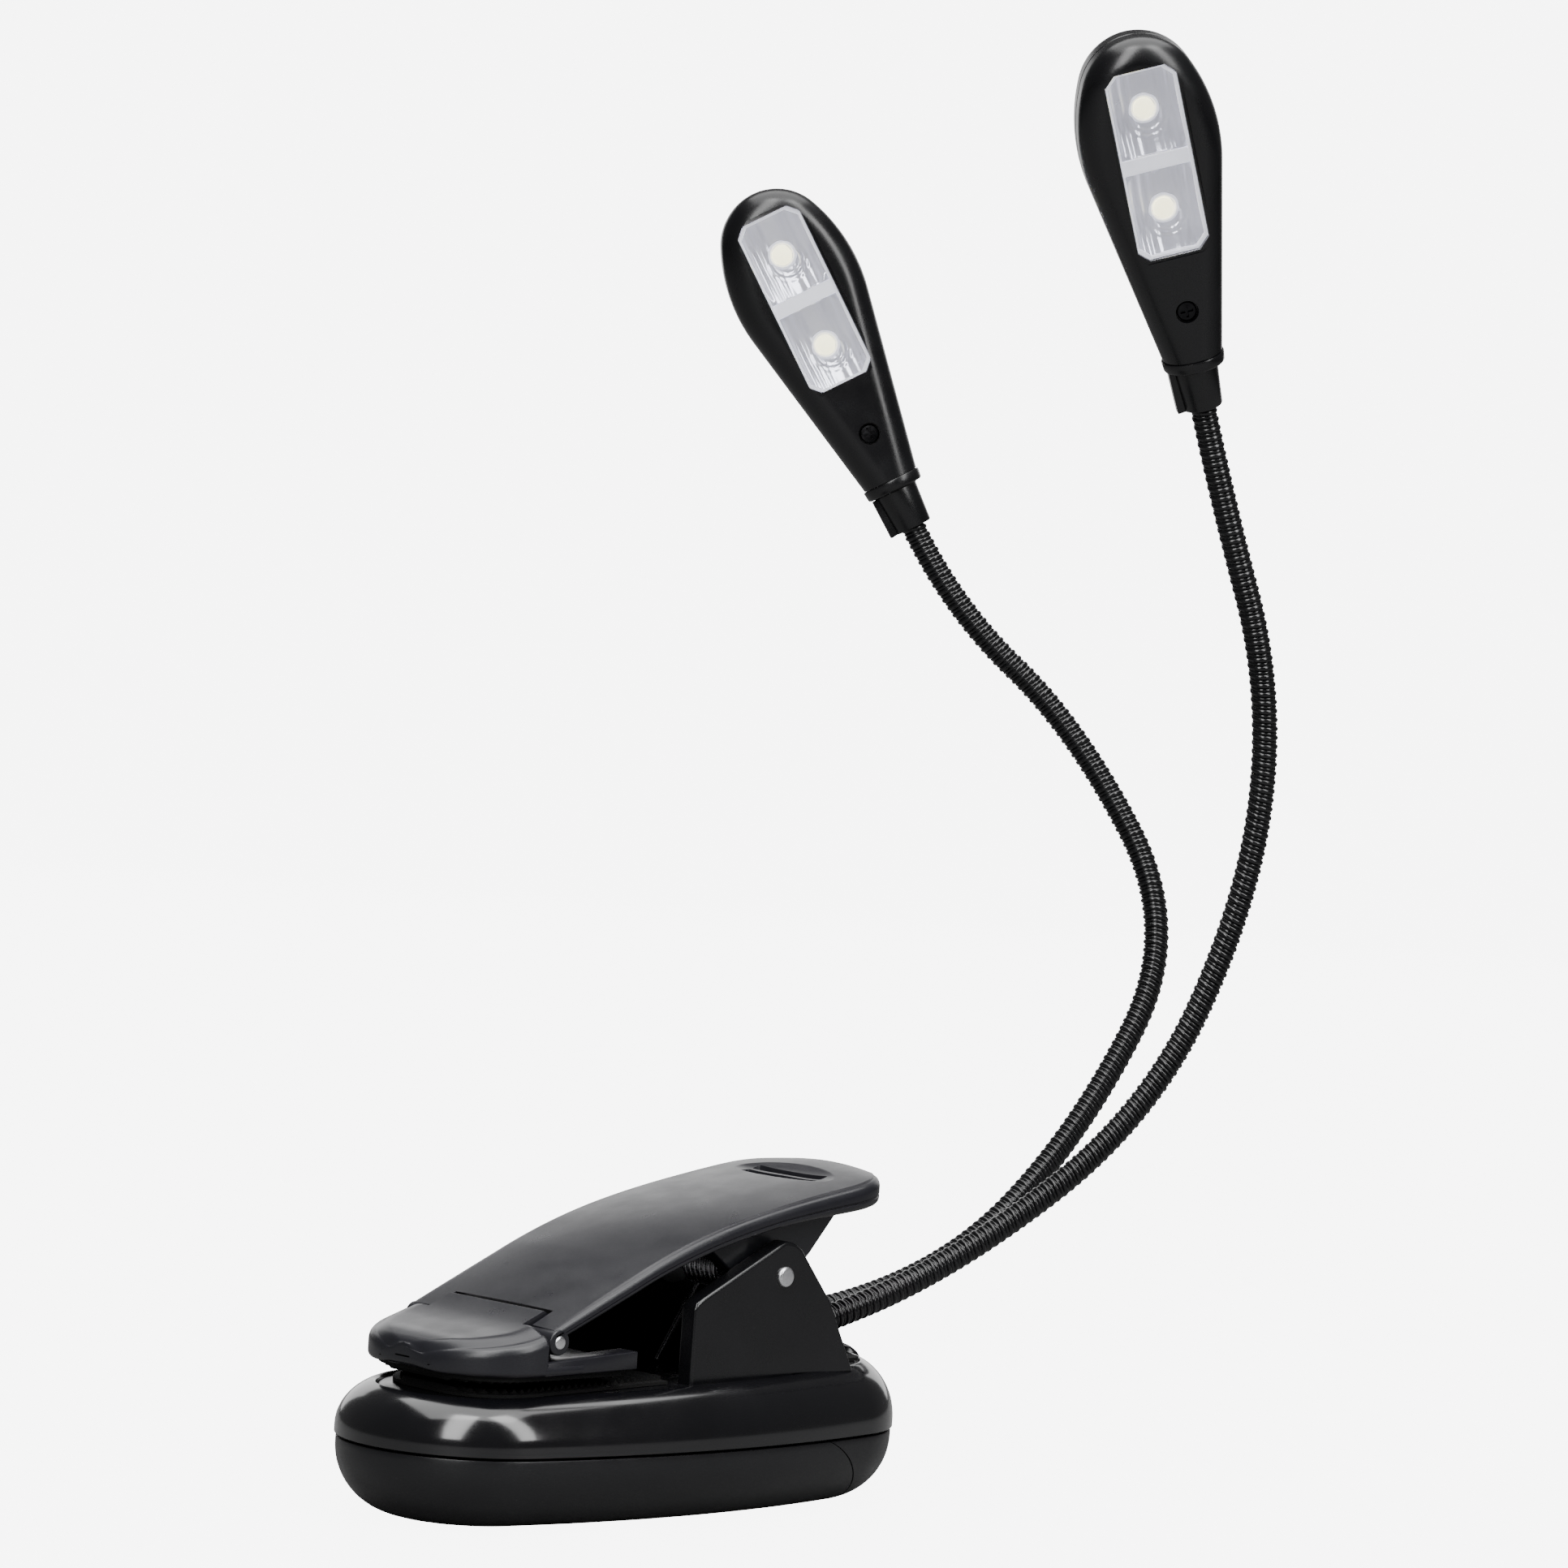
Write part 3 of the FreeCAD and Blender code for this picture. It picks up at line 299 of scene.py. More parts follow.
def quarter_angles(steps):
    """Angles from 0 to a quarter turn, in equal steps."""
    return [math.pi / 2 * k / steps for k in range(steps + 1)]


def round_in(share):
    """How far a quarter circle has fallen, from 0 to 1, at a share of its radius."""
    return 1 - math.sqrt(max(1 - share**2, 0.0))


def round_off(piece, width, segments=3):
    """Rounds the piece's sharp edges."""
    modifier = piece.modifiers.new("Round", "BEVEL")
    modifier.width = width * MM
    modifier.segments = segments
    modifier.limit_method = "ANGLE"
    modifier.angle_limit = math.radians(28)
    modifier.harden_normals = True
    bake(piece)


def bake(piece):
    """Applies the piece's modifiers."""
    graph = bpy.context.evaluated_depsgraph_get()
    mesh = bpy.data.meshes.new_from_object(piece.evaluated_get(graph))
    piece.modifiers.clear()
    piece.data = mesh


def carve(piece, cutter, operation="DIFFERENCE", sharp=32.0):
    """Cuts piece with cutter, then drops the cutter."""
    modifier = piece.modifiers.new("Cut", "BOOLEAN")
    modifier.operation = operation
    modifier.solver = "EXACT"
    modifier.object = cutter
    bpy.context.view_layer.update()
    bake(piece)
    bpy.data.objects.remove(cutter)
    piece.data.set_sharp_from_angle(angle=math.radians(sharp))
    return piece


def join(name, *parts):
    """One object out of several, keeping each one's material."""
    for other in bpy.context.view_layer.objects:
        other.select_set(other in parts)
    bpy.context.view_layer.objects.active = parts[0]
    bpy.ops.object.join()
    parts[0].name = name
    parts[0].select_set(False)
    return parts[0]


def stand_for(piece, body, slot_name, *nodes):
    """Lets the piece ride on a body and take the place of CAD nodes."""
    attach(piece, body)
    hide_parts(*nodes)


# ---------------------------------------------------------------------- the base

DECK_RISE = 0.025  # the deck and the shell's top climb this much per millimetre to the rear
PIVOT_X, PIVOT_Z = 16.5, 33.8
JAW_PIN_X, JAW_PIN_Z = -26.7, 26.2
CASING_SCREW_X, CASING_SCREW_Y = 37.5, 7.0
BUTTON_RADIUS = 2.3
CLAMP_X, CLAMP_Y, CLAMP_Z = 24.0, 4.0, 22.4
EAR_INSIDE, EAR_OUTSIDE = 12.0, 15.0
HALF_LENGTH, HALF_WIDTH, END_RADIUS = 47.5, 22.0, 19.0
REACH = HALF_LENGTH - END_RADIUS
SIDE_RADIUS = (REACH**2 + HALF_WIDTH**2 - END_RADIUS**2) / (2 * (HALF_WIDTH - END_RADIUS))
DROP = SIDE_RADIUS - HALF_WIDTH
TURN = math.atan2(DROP, REACH)


def oval(inset, height, slope=0.0):
    """A ring of the base's plan outline moved inwards; height can rise towards +X."""
    arc_steps, side_steps = 48, 40
    ring = []
    for k in range(arc_steps):
        a = -TURN + 2 * TURN * k / arc_steps
        r = END_RADIUS - inset
        ring.append((REACH + r * math.cos(a), r * math.sin(a)))
    for k in range(side_steps):
        a = TURN + (math.pi - 2 * TURN) * k / side_steps
        r = SIDE_RADIUS - inset
        ring.append((r * math.cos(a), r * math.sin(a) - DROP))
    ring += [(-x, -y) for x, y in ring]
    return [(x, y, height + slope * x) for x, y in ring]


def quarter(centre_inset, centre_height, radius, start, end, steps, slope=0.0):
    """Rings round a corner of the shell's section, from angle start to end in degrees."""
    rings = []
    for k in range(steps + 1):
        a = math.radians(start + (end - start) * k / steps)
        inset = centre_inset - radius * math.cos(a)
        height = centre_height + radius * math.sin(a)
        rise = slope * max(0.0, math.sin(a))
        rings.append(oval(inset, height, rise))
    return rings


def upper_shell():
    """The glossy dome, from the edge of the deck's recess down to the parting line."""
    rings = [oval(5.45, 17.3), oval(5.45, 19.0, DECK_RISE), oval(5.3, 19.2, DECK_RISE)]
    rings += reversed(quarter(8.0, 11.85, 8.0, 0, 68, 22, DECK_RISE))
    rings += [oval(0.0, 10.9), oval(0.12, 10.78), oval(0.35, 10.75), oval(2.0, 10.75)]
    rings += [oval(2.0, 13.5), oval(4.6, 15.0), oval(6.0, 15.8)]
    piece = make_object("shell_upper", *skin(rings), GLOSS, 40)
    radius = BUTTON_RADIUS + 0.25
    hole = lathe("hole", [(radius, -4), (radius, 6)], GLOSS, button_frame())
    piece = carve(piece, hole, sharp=40)
    stand_for(piece, "base", "gloss_shell", "upper_shell")


def button_frame():
    """The frame of the button behind the clip, with Z square to the dome."""
    turn = Matrix.Rotation(math.radians(40.5), 4, "Y")
    return Matrix.Translation((44.7, 0, 19.2)) @ turn


def lower_solid(name):
    """The whole lower casing, stepped inside round the cells and round outside."""
    top = 10.45
    rings = [oval(14.0, 1.8), oval(6.0, 1.8), oval(5.8, 2.0), oval(5.7, 3.1), oval(5.5, 3.2)]
    rings += [oval(4.2, 3.2), oval(4.0, 3.4), oval(3.9, 5.9), oval(3.7, 6.0), oval(2.4, 6.0)]
    rings += [oval(2.25, 6.2), oval(2.2, top)]
    rings += [oval(0.5, top), oval(0.3, top - 0.05), oval(0.25, top - 0.2)]
    rings += quarter(9.75, 9.5, 9.5, 0, -90, 26)
    rings += [oval(14.0, 0.0)]
    return make_object(name, *skin(rings), SATIN, 40)


def seam_cutter(shift):
    """A block in front of the curved seam between the door and the rear casing."""
    marks = []
    centre_x, centre_z, radius = 17.6, -4.6, 15.9
    for k in range(25):
        a = math.radians(96 - 92 * k / 24)
        x = centre_x + radius * math.cos(a) + shift
        marks.append((x, centre_z + radius * math.sin(a)))
    outline = [(-60, 14), (marks[0][0], 14), *marks, (marks[-1][0], -8), (-60, -8)]
    return prism("seam_cutter", outline, -40, 40, SATIN)


def lower_shell():
    """The battery door with its finger grooves, and the rear casing with its screw holes."""
    half_gap = 0.14
    door = carve(lower_solid("door_skin"), seam_cutter(-half_gap), "INTERSECT", 40)
    for step in range(6):
        low = -42 + 1.6 * step
        high = -41.3 + 1.6 * step
        groove = [(low, -0.4), (high, -0.4), (high, 0.35), (low, 0.35)]
        door = carve(door, prism("groove", groove, -6, 6, SATIN), sharp=40)
    stand_for(door, "door", "satin_shell", "battery_door")
    rear = carve(lower_solid("rear_skin"), seam_cutter(half_gap), "DIFFERENCE", 40)
    for side in (-1, 1):
        place = Matrix.Translation((CASING_SCREW_X, CASING_SCREW_Y * side, 0))
        rear = carve(rear, lathe("hole", [(2.0, -1), (2.0, 1.7)], SATIN, place), sharp=40)
    stand_for(rear, "base", "satin_shell", "rear_casing")


def deck():
    """The clip's deck plate, its two ears and the wall that holds the goosenecks."""
    rings = [oval(5.65, 17.35)]
    edge = ((5.65, 18.3), (5.75, 18.62), (5.95, 18.82), (6.25, 18.92), (7.0, 18.95))
    rings += [oval(inset, height, DECK_RISE) for inset, height in edge]
    plate = make_object("deck_plate", *skin(rings), DECK, 40)
    marks = [(-0.8, 18.2), (-0.8, 29.6), (-0.7, 30.1), (-0.3, 30.6), (0.9, 31.35), (15.1, 38.3)]
    for k in range(1, 10):
        a = math.radians(100 - 66 * k / 9)
        marks.append((PIVOT_X + 5.0 * math.cos(a), PIVOT_Z + 5.05 * math.sin(a)))
    marks += [(26.1, 30.0), (31.8, 19.3), (19.5, 19.3), (19.5, 18.2)]
    parts = [plate]
    for side in (-1, 1):
        low, high = beside(side, EAR_INSIDE, EAR_OUTSIDE)
        parts.append(prism("ear", marks, low, high, DECK, 0.55, 4))
    outline = [(25.9, 18.9), (25.9, 29.4), (29.3, 29.4), (29.5, 18.9)]
    wall = prism("rear_wall", outline, -12.1, 12.1, DECK, 0.4)
    for side in (-1, 1):
        start = Vector((CLAMP_X, CLAMP_Y * side, CLAMP_Z))
        turn = Vector((36, -0.3, 8.6)).to_track_quat("Z", "Y").to_matrix().to_4x4()
        bore = lathe("bore", [(2.15, 0), (2.15, 12)], DECK, Matrix.Translation(start) @ turn)
        wall = carve(wall, bore)
    piece = join("deck_frame", *parts, wall)
    stand_for(piece, "base", "deck_metal", "deck_bracket")


# ---------------------------------------------------------------------- the clip

LEVER_TOP = [(-27.5, 27.85), (-20, 31.3), (-14, 34.0), (-8, 36.65), (-2, 38.95), (4, 40.85),
             (10, 42.4), (15, 43.5), (22, 44.85), (30, 46.2), (36.5, 47.2), (39.9, 47.45)]
LEVER_UNDER = [(-27.5, 26.2), (-20, 29.3), (-14, 31.9), (-8, 34.5), (-2, 36.6), (4, 38.4),
               (10, 39.9), (15, 40.9), (22, 41.9), (30, 42.8), (36.5, 43.6), (39.9, 44.1)]
LEVER_END = 39.7
RIDGE_PITCH = 1.25


def smooth_height(marks, x):
    """A smooth curve's height at x: a cubic through the marks with matched slopes."""
    xs = [m[0] for m in marks]
    zs = [m[1] for m in marks]
    slopes = np.gradient(zs, xs)
    i = int(np.clip(np.searchsorted(xs, x) - 1, 0, len(xs) - 2))
    h = xs[i + 1] - xs[i]
    t = (x - xs[i]) / h
    return ((2 * t**3 - 3 * t**2 + 1) * zs[i] + (t**3 - 2 * t**2 + t) * h * slopes[i]
            + (3 * t**2 - 2 * t**3) * zs[i + 1] + (t**3 - t**2) * h * slopes[i + 1])


def lever_plan(x):
    """The lever's half width at x, rounded at the thumb end."""
    corner, half = 11.0, 15.5
    if x <= LEVER_END - corner:
        return half
    away = min((x - (LEVER_END - corner)) / corner, 1.0)
    return half - corner * 0.86 * (1 - math.sqrt(max(1 - away**2.3, 0.0)))


def dish_depth(x, y):
    """How far the thumb dish goes down at a point, with the two slots in its floor."""
    reach = math.hypot((x - 29.7) / 3.9, y / 9.6)
    if reach >= 1:
        return 0.0
    bowl = 0.75 * (1 - reach**3)
    for middle in (28.5, 30.8):
        if abs(x - middle) < 0.75 and abs(y) < 7.0:
            bowl += 1.3 * (1 - reach**6)
    return bowl


def lever_plate():
    """The crowned thumb plate, in rings along X with rounded edges and a groove in each side."""
    nose = 1.4  # the length over which the thumb end is rounded
    stations = list(np.arange(-27.4, 24.0, 0.6)) + list(np.arange(24.0, 35.0, 0.2))
    stations += list(np.arange(35.0, LEVER_END - 1.5, 0.35))
    stations += list(LEVER_END - nose * (1 - np.sin(np.linspace(0, math.pi / 2, 11))))
    rings = []
    for x in stations:
        half = lever_plan(x)
        top = smooth_height(LEVER_TOP, x)
        under = smooth_height(LEVER_UNDER, x)
        closing = max(0.0, (x - LEVER_END + nose) / nose)
        pinch = round_in(closing)
        middle = (top + under) / 2
        thick = (top - under) / 2 * (1 - 0.8 * pinch)
        top, under = middle + thick, middle - thick
        round_top = min(1.25, (top - under) * 0.42)
        round_low = min(0.9, (top - under) * 0.3)
        crown = 0.95 * min(1.0, (x + 30) / 25 + 0.2)
        ring = []
        for a in quarter_angles(6):
            y = half - round_low + round_low * math.sin(a)
            ring.append((y, under + round_low * (1 - math.cos(a))))
        wall = top - round_top - under - round_low
        for share, inset in ((0.08, 0.0), (0.2, 0.16), (0.3, 0.16), (0.42, 0.0)):
            ring.append((half - inset, under + round_low + wall * share))
        for a in quarter_angles(8):
            y = half - round_top + round_top * math.cos(a)
            ring.append((y, top - round_top * (1 - math.sin(a))))
        across = np.linspace(half - round_top, -(half - round_top), 122)[1:-1]
        loop = [(x, y, z) for y, z in ring]
        for y in across:
            lift = crown * (1 - (y / half) ** 2)
            loop.append((x, y, top + lift - dish_depth(x, y)))
        loop += [(x, -y, z) for y, z in reversed(ring)]
        low = np.linspace(-(half - round_low), half - round_low, 30)[1:-1]
        loop += [(x, y, under) for y in low]
        rings.append(loop)
    return make_object("lever_plate", *skin(rings), LEVER, 38)


def rod_along_y(name, x, z, radius, low_y, high_y, material, bevel=0.3):
    """A rod along Y with rounded ends."""
    place = Matrix.Translation((x, low_y, z)) @ Matrix.Rotation(-math.pi / 2, 4, "X")
    length = high_y - low_y
    profile = [(radius - bevel, 0)]
    for a in quarter_angles(5)[1:]:
        profile.append((radius - bevel + bevel * math.sin(a), bevel * (1 - math.cos(a))))
    profile += [(r, length - h) for r, h in reversed(profile)]
    return lathe(name, profile, material, place, sharp=50)


def lever():
    """The thumb lever with its lugs and bosses, and the two pins that it turns with."""
    plate = lever_plate()
    notch = rod_along_y("notch", JAW_PIN_X, JAW_PIN_Z, 4.8, -10.3, 10.3, LEVER, 0.01)
    plate = carve(plate, notch, sharp=38)
    parts = [plate]
    lug = [(4.0, 38.6), (11.8, 32.4), (13.0, 31.2), (14.4, 30.2), (16.5, 29.6), (18.8, 30.0),
           (20.6, 31.8), (25.3, 36.5), (31.0, 43.1), (22.0, 43.2), (12.0, 41.8)]
    for side in (-1, 1):
        low, high = beside(side, 8.2, 11.0)
        part = prism("lug", lug, low, high, LEVER, 0.35)
        eye = rod_along_y("eye", PIVOT_X, PIVOT_Z, 1.56, -12, 12, LEVER, 0.01)
        parts.append(carve(part, eye))
        low, high = beside(side, 10.35, 15.5)
        parts.append(rod_along_y("boss", JAW_PIN_X, JAW_PIN_Z, 1.8, low, high, LEVER, 0.25))
    piece = join("lever_body", *parts)
    stand_for(piece, "lever", "satin_shell", "lever")
    pin = rod_along_y("jaw_pin_skin", JAW_PIN_X, JAW_PIN_Z, 0.95, -15.75, 15.75, PIN, 0.3)
    stand_for(pin, "lever", "pin_steel", "jaw_pin")
    pin = rod_along_y("pivot_pin_skin", PIVOT_X, PIVOT_Z, 1.5, -15.55, 15.55, PIN, 0.45)
    stand_for(pin, "base", "pin_steel", "pivot_pin")


JAW_FRONT, JAW_CORNER, JAW_HALF = -41.9, 12.9, 15.8
JAW_TOP = [(-42.6, 24.9), (-41, 25.45), (-39, 26.1), (-36.5, 26.5), (-34, 26.95), (-31.5, 27.45),
           (-29.2, 28.1), (-27, 28.95), (-24.0, 30.3), (-22.0, 31.2)]


def jaw_plan(x):
    """The jaw's half width at x, with its round front corners."""
    away = (JAW_FRONT + JAW_CORNER - x) / JAW_CORNER
    if away <= 0:
        return JAW_HALF
    flat = 1.5
    return flat + (JAW_HALF - flat) * math.sqrt(max(1 - away**2.1, 0.0))


def jaw_nose():
    """The jaw's front, in rings along X with round edges, a shoulder and a raised middle."""
    radius, low_radius = 1.5, 0.7
    ease = 1 - np.cos(np.linspace(0, math.pi / 2, 12))
    stations = list(JAW_FRONT + 1.5 * ease) + list(np.arange(JAW_FRONT + 1.8, -22.0, 0.35))
    rings = []
    for x in stations:
        half = jaw_plan(x)
        closing = max(0.0, (JAW_FRONT + 1.5 - x) / 1.5)
        pinch = round_in(closing)
        top = smooth_height(JAW_TOP, x) - 1.35 * pinch
        under = 21.5 + 0.9 * pinch
        shoulder = max(top - 1.0, under + 2.0)
        ring = []
        for a in quarter_angles(5):
            y = half - low_radius + low_radius * math.sin(a)
            ring.append((y, under + low_radius * (1 - math.cos(a))))
        for a in quarter_angles(9):
            y = half - radius + radius * math.cos(a)
            ring.append((y, shoulder - radius * (1 - math.sin(a))))
        loop = [(x, y, z) for y, z in ring]
        for y in np.linspace(half - radius, -(half - radius), 62)[1:-1]:
            share = min(1.0, (half - radius - abs(y)) / 3.0)
            loop.append((x, y, shoulder + math.sin(share * math.pi / 2)))
        loop += [(x, -y, z) for y, z in reversed(ring)]
        for y in np.linspace(-(half - low_radius), half - low_radius, 12)[1:-1]:
            loop.append((x, y, under))
        rings.append(loop)
    return make_object("jaw_nose", *skin(rings), LEVER, 38)


def jaw():
    """The jaw: its nose with a tongue round the pin, the floor and the two side rails."""
    floor_top, tongue = 22.9, 4.05
    nose = jaw_nose()
    for side in (-1, 1):
        low, high = beside(side, 9.9, 17)
        step = [(-28.95, floor_top), (-28.95, 34), (-20, 34), (-20, floor_top)]
        nose = carve(nose, prism("step", step, low, high, LEVER), sharp=38)
    behind = [(-23.1, floor_top)]
    for k in range(13):
        a = math.radians(-35 + 125 * k / 12)
        behind.append((JAW_PIN_X + tongue * math.cos(a), JAW_PIN_Z + tongue * math.sin(a)))
    behind += [(JAW_PIN_X, 36), (-18, 36), (-18, floor_top)]
    nose = carve(nose, prism("tail", behind, -17, 17, LEVER), sharp=38)
    outline = [(-30, 21.55), (-12, 21.55), (-12, floor_top), (-30, floor_top)]
    parts = [nose, prism("jaw_floor", outline, -13.5, 13.5, LEVER, 0.2)]
    for side in (-1, 1):
        low, high = beside(side, 12.0, 15.7)
        rail = [(-29.2, 21.6), (-12, 21.9), (-12, 24.4), (-29.2, 23.5)]
        parts.append(prism("rail", rail, low, high, LEVER, 0.15))
    piece = join("jaw_body", *parts)
    eye = rod_along_y("eye", JAW_PIN_X, JAW_PIN_Z, 0.98, -9.9, 9.9, LEVER, 0.01)
    piece = carve(piece, eye, sharp=38)
    stand_for(piece, "jaw", "satin_shell", "jaw")


def ridged_pad(name, low, high, plan, base, rise, thick, ridge):
    """A rubber pad with ridges across Y; thick and ridge are negative on a pad that hangs down."""
    rings = []
    for x in np.arange(low, high + 0.05, 0.1):
        half = plan(x)
        foot = base + rise * x
        tooth = ridge * max(0.0, 1 - abs(((x - low) / RIDGE_PITCH) % 1 * 2 - 1) * 1.3)
        face = foot + thick
        flank = min(1.5, half * 0.3)
        across = [(half, foot), (half, face), (half - flank, face), (half - flank, face + tooth)]
        ring = [(x, y, z) for y, z in across] + [(x, -y, z) for y, z in reversed(across)]
        rings.append(ring)
    return make_object(name, *skin(rings), RUBBER, 25)


def pads():
    """The rubber under the jaw and on the deck, each with a rounded front."""
    def under_jaw(x):
        away = max(0.0, (-31.0 - x) / 8.4)
        return 3.0 + 10.8 * math.sqrt(max(1 - away**2.1, 0.0))

    def on_deck(x):
        away = max(0.0, (-28.0 - x) / 9.5)
        return 3.0 + 9.7 * math.sqrt(max(1 - away**2.1, 0.0))

    piece = ridged_pad("jaw_rubber", -39.3, -13.1, under_jaw, 21.48, 0.0, -0.75, -0.5)
    stand_for(piece, "jaw", "pad_rubber", "jaw_pad")
    piece = ridged_pad("deck_rubber", -37.4, -3.1, on_deck, 19.03, DECK_RISE, 0.45, 0.65)
    stand_for(piece, "base", "pad_rubber", "deck_pad_front")


def button():
    """The power button's cap and its stem."""
    profile = [(1.1, -6.6), (1.1, -4.6), (BUTTON_RADIUS, -4.6), (BUTTON_RADIUS, 0.3)]
    for a in quarter_angles(8)[1:]:
        profile.append((BUTTON_RADIUS - 0.9 + 0.9 * math.cos(a), 0.3 + 0.75 * math.sin(a)))
    profile.append((0.3, 1.12))
    piece = lathe("button_cap", profile, BUTTON, button_frame(), sharp=40)
    stand_for(piece, "button", "button_plastic", "power_button")


# ----------------------------------------------------------------- the goosenecks

ROUTES = {
    "near": [(CLAMP_X, -CLAMP_Y, CLAMP_Z), (60.0, -4.6, 31.6), (91.8, -14.7, 55.6),
             (99.2, -25.5, 90.5), (94.8, -30.8, 121.2), (80.4, -30.8, 149.9), (68.4, -32.2, 175.1)],
    "far": [(CLAMP_X, CLAMP_Y, CLAMP_Z), (68.5, 3.8, 29.6), (96.3, 3.7, 50.8),
            (114.4, 1.6, 82.2), (104.4, 17.8, 112.8), (89.6, 31.8, 130.0), (79.2, 41.0, 154.3)],
}
FACING = {"near": (-0.66, -0.75, -0.02), "far": (-0.67, -0.74, 0.0)}
PITCH = 1.37
BEND_RUNS = (0, 2, 3, 4)


def route_points(name):
    """Closely spaced points down the middle of one gooseneck, and each joint's point."""
    marks = [Vector(p) for p in ROUTES[name]]
    mids = [(a + b) / 2 for a, b in zip(marks, marks[1:])]
    line = [marks[0].lerp(mids[0], t) for t in np.linspace(0, 1, 60, endpoint=False)]
    for start, corner, end in zip(mids, marks[1:], mids[1:]):
        for t in np.linspace(0, 1, 120, endpoint=False):
            line.append(start * (1 - t) ** 2 + corner * 2 * t * (1 - t) + end * t**2)
    along = (marks[-1] - marks[-2]).normalized()
    line += [mids[-1] + along * t for t in np.linspace(0, 4.4, 20)]
    return np.array(line), [mids[run] for run in BEND_RUNS]


def tube_frames(line):
    """Arc length, and a pair of side directions that don't twist along the line."""
    steps = np.diff(line, axis=0)
    length = np.concatenate(([0], np.cumsum(np.linalg.norm(steps, axis=1))))
    tangents = np.gradient(line, length, axis=0)
    tangents /= np.linalg.norm(tangents, axis=1)[:, None]
    side = np.cross(tangents[0], (0, 0, 1.0))
    sides = []
    for tangent in tangents:
        side = side - tangent * np.dot(side, tangent)
        side /= np.linalg.norm(side)
        sides.append(side.copy())
    return length, np.array(sides), np.cross(tangents, np.array(sides))


def gooseneck(name):
    """Four ribbed pieces, each reaching across the place of one hinge: a round wire and a narrow
    one, wound.
    """
    line, joints = route_points(name)
    length, sides, ups = tube_frames(line)
    at = [length[np.argmin(np.linalg.norm(line - np.array(j), axis=1))] for j in joints]
    cuts = [0.0, *[(a + b) / 2 for a, b in zip(at, at[1:])], length[-1]]
    cuts = [round(cut / PITCH) * PITCH for cut in cuts[:-1]] + [cuts[-1]]
    nodes = [("root", "lower"), ("middle",), ("upper",), ("tip",)]
    around, per_turn = 28, 16
    for k, joint in enumerate(joints):
        stations = np.arange(cuts[k], cuts[k + 1] + PITCH / per_turn / 2, PITCH / per_turn)
        rings = []
        for s in stations:
            centre = np.array([np.interp(s, length, line[:, i]) for i in range(3)])
            side = np.array([np.interp(s, length, sides[:, i]) for i in range(3)])
            up = np.array([np.interp(s, length, ups[:, i]) for i in range(3)])
            ring = []
            for i in range(around):
                a = 2 * math.pi * i / around
                turn = (s / PITCH + i / around) % 1.0
                round_wire = math.sqrt(max(1 - ((turn - 0.31) / 0.31) ** 2, 0.0))
                narrow_wire = math.sqrt(max(1 - ((turn - 0.81) / 0.19) ** 2, 0.0))
                radius = 1.55 + 0.44 * round_wire + 0.3 * narrow_wire
                ring.append(centre + (side * math.cos(a) + up * math.sin(a)) * radius)
            rings.append(ring)
        piece = make_object(f"{name}_neck_{k}", *skin(rings), NECK, 75)
        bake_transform(piece)
        stands = [f"{name}_{kind}_{part}" for kind in ("gooseneck", "wires") for part in nodes[k]]
        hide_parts(*stands)


# --------------------------------------------------------------------- the heads

TIP, NECK_Z = 57.5, 8.3
TAPER = 0.19
DEPTH_AT_NECK, DEPTH_AT_TIP = 4.3, 5.9


def teardrop(inset):
    """The head's outline in its own XZ plane, moved inwards by inset."""
    slope = math.atan(TAPER)
    width, shoulder, half = 10.3, 26.0, 4.45
    touch_x = width - shoulder * (1 - math.cos(slope))
    touch_z = NECK_Z + (touch_x - half) / TAPER
    cx, cz = width - shoulder, touch_z + shoulder * math.sin(slope)
    rise = TIP - cz
    tip = (shoulder**2 - cx**2 - rise**2) / (2 * (shoulder - rise))
    tz = TIP - tip
    reach = math.hypot(cx, tz - cz)
    meet = math.atan2((tz - cz) / reach, -cx / reach)
    round_side = shoulder - inset
    low = (cx + math.cos(-slope) * round_side, cz + math.sin(-slope) * round_side)
    foot = (low[0] - (low[1] - NECK_Z) * TAPER, NECK_Z)
    side = [foot]
    for k in range(1, 12):
        t = k / 12
        side.append((foot[0] + (low[0] - foot[0]) * t, foot[1] + (low[1] - foot[1]) * t))
    for k in range(31):
        a = -slope + (meet + slope) * k / 30
        side.append((cx + round_side * math.cos(a), cz + round_side * math.sin(a)))
    for k in range(1, 25):
        a = meet + (math.pi / 2 - meet) * k / 24
        side.append(((tip - inset) * math.cos(a), tz + (tip - inset) * math.sin(a)))
    mirrored = [(-x, z) for x, z in reversed(side[:-1])]
    return side + mirrored


def face_depth(z):
    """How far the head's front face lies from its middle plane."""
    return DEPTH_AT_NECK + (DEPTH_AT_TIP - DEPTH_AT_NECK) * (z - NECK_Z) / (TIP - NECK_Z)


def half_shell(name, sign, part_at):
    """One half of a head: sign -1 is the window's side. The edge is rounded all the way."""
    rx, ry = 4.15, 4.1
    rings = [[(x, sign * part_at, z) for x, z in teardrop(0.12)]]
    rings.append([(x, sign * (part_at + 0.12), z) for x, z in teardrop(0.0)])
    for a in quarter_angles(18):
        ring = []
        for x, z in teardrop(rx * (1 - math.cos(a))):
            depth = max(face_depth(z) - ry * (1 - math.sin(a)), part_at + 0.13)
            ring.append((x, sign * depth, z))
        rings.append(ring)
    return make_object(name, *skin(rings), HEAD, 40)


LENS_HALF_W, LENS_HALF_L, LENS_CUT, LENS_MIDDLE = 5.2, 14.15, 1.6, 39.3
EMITTER_OFFSET, BOWL_DEPTH, DIVIDER_HALF = 7.7, 3.9, 1.1
HEAD_SCREW_Z = 16.2


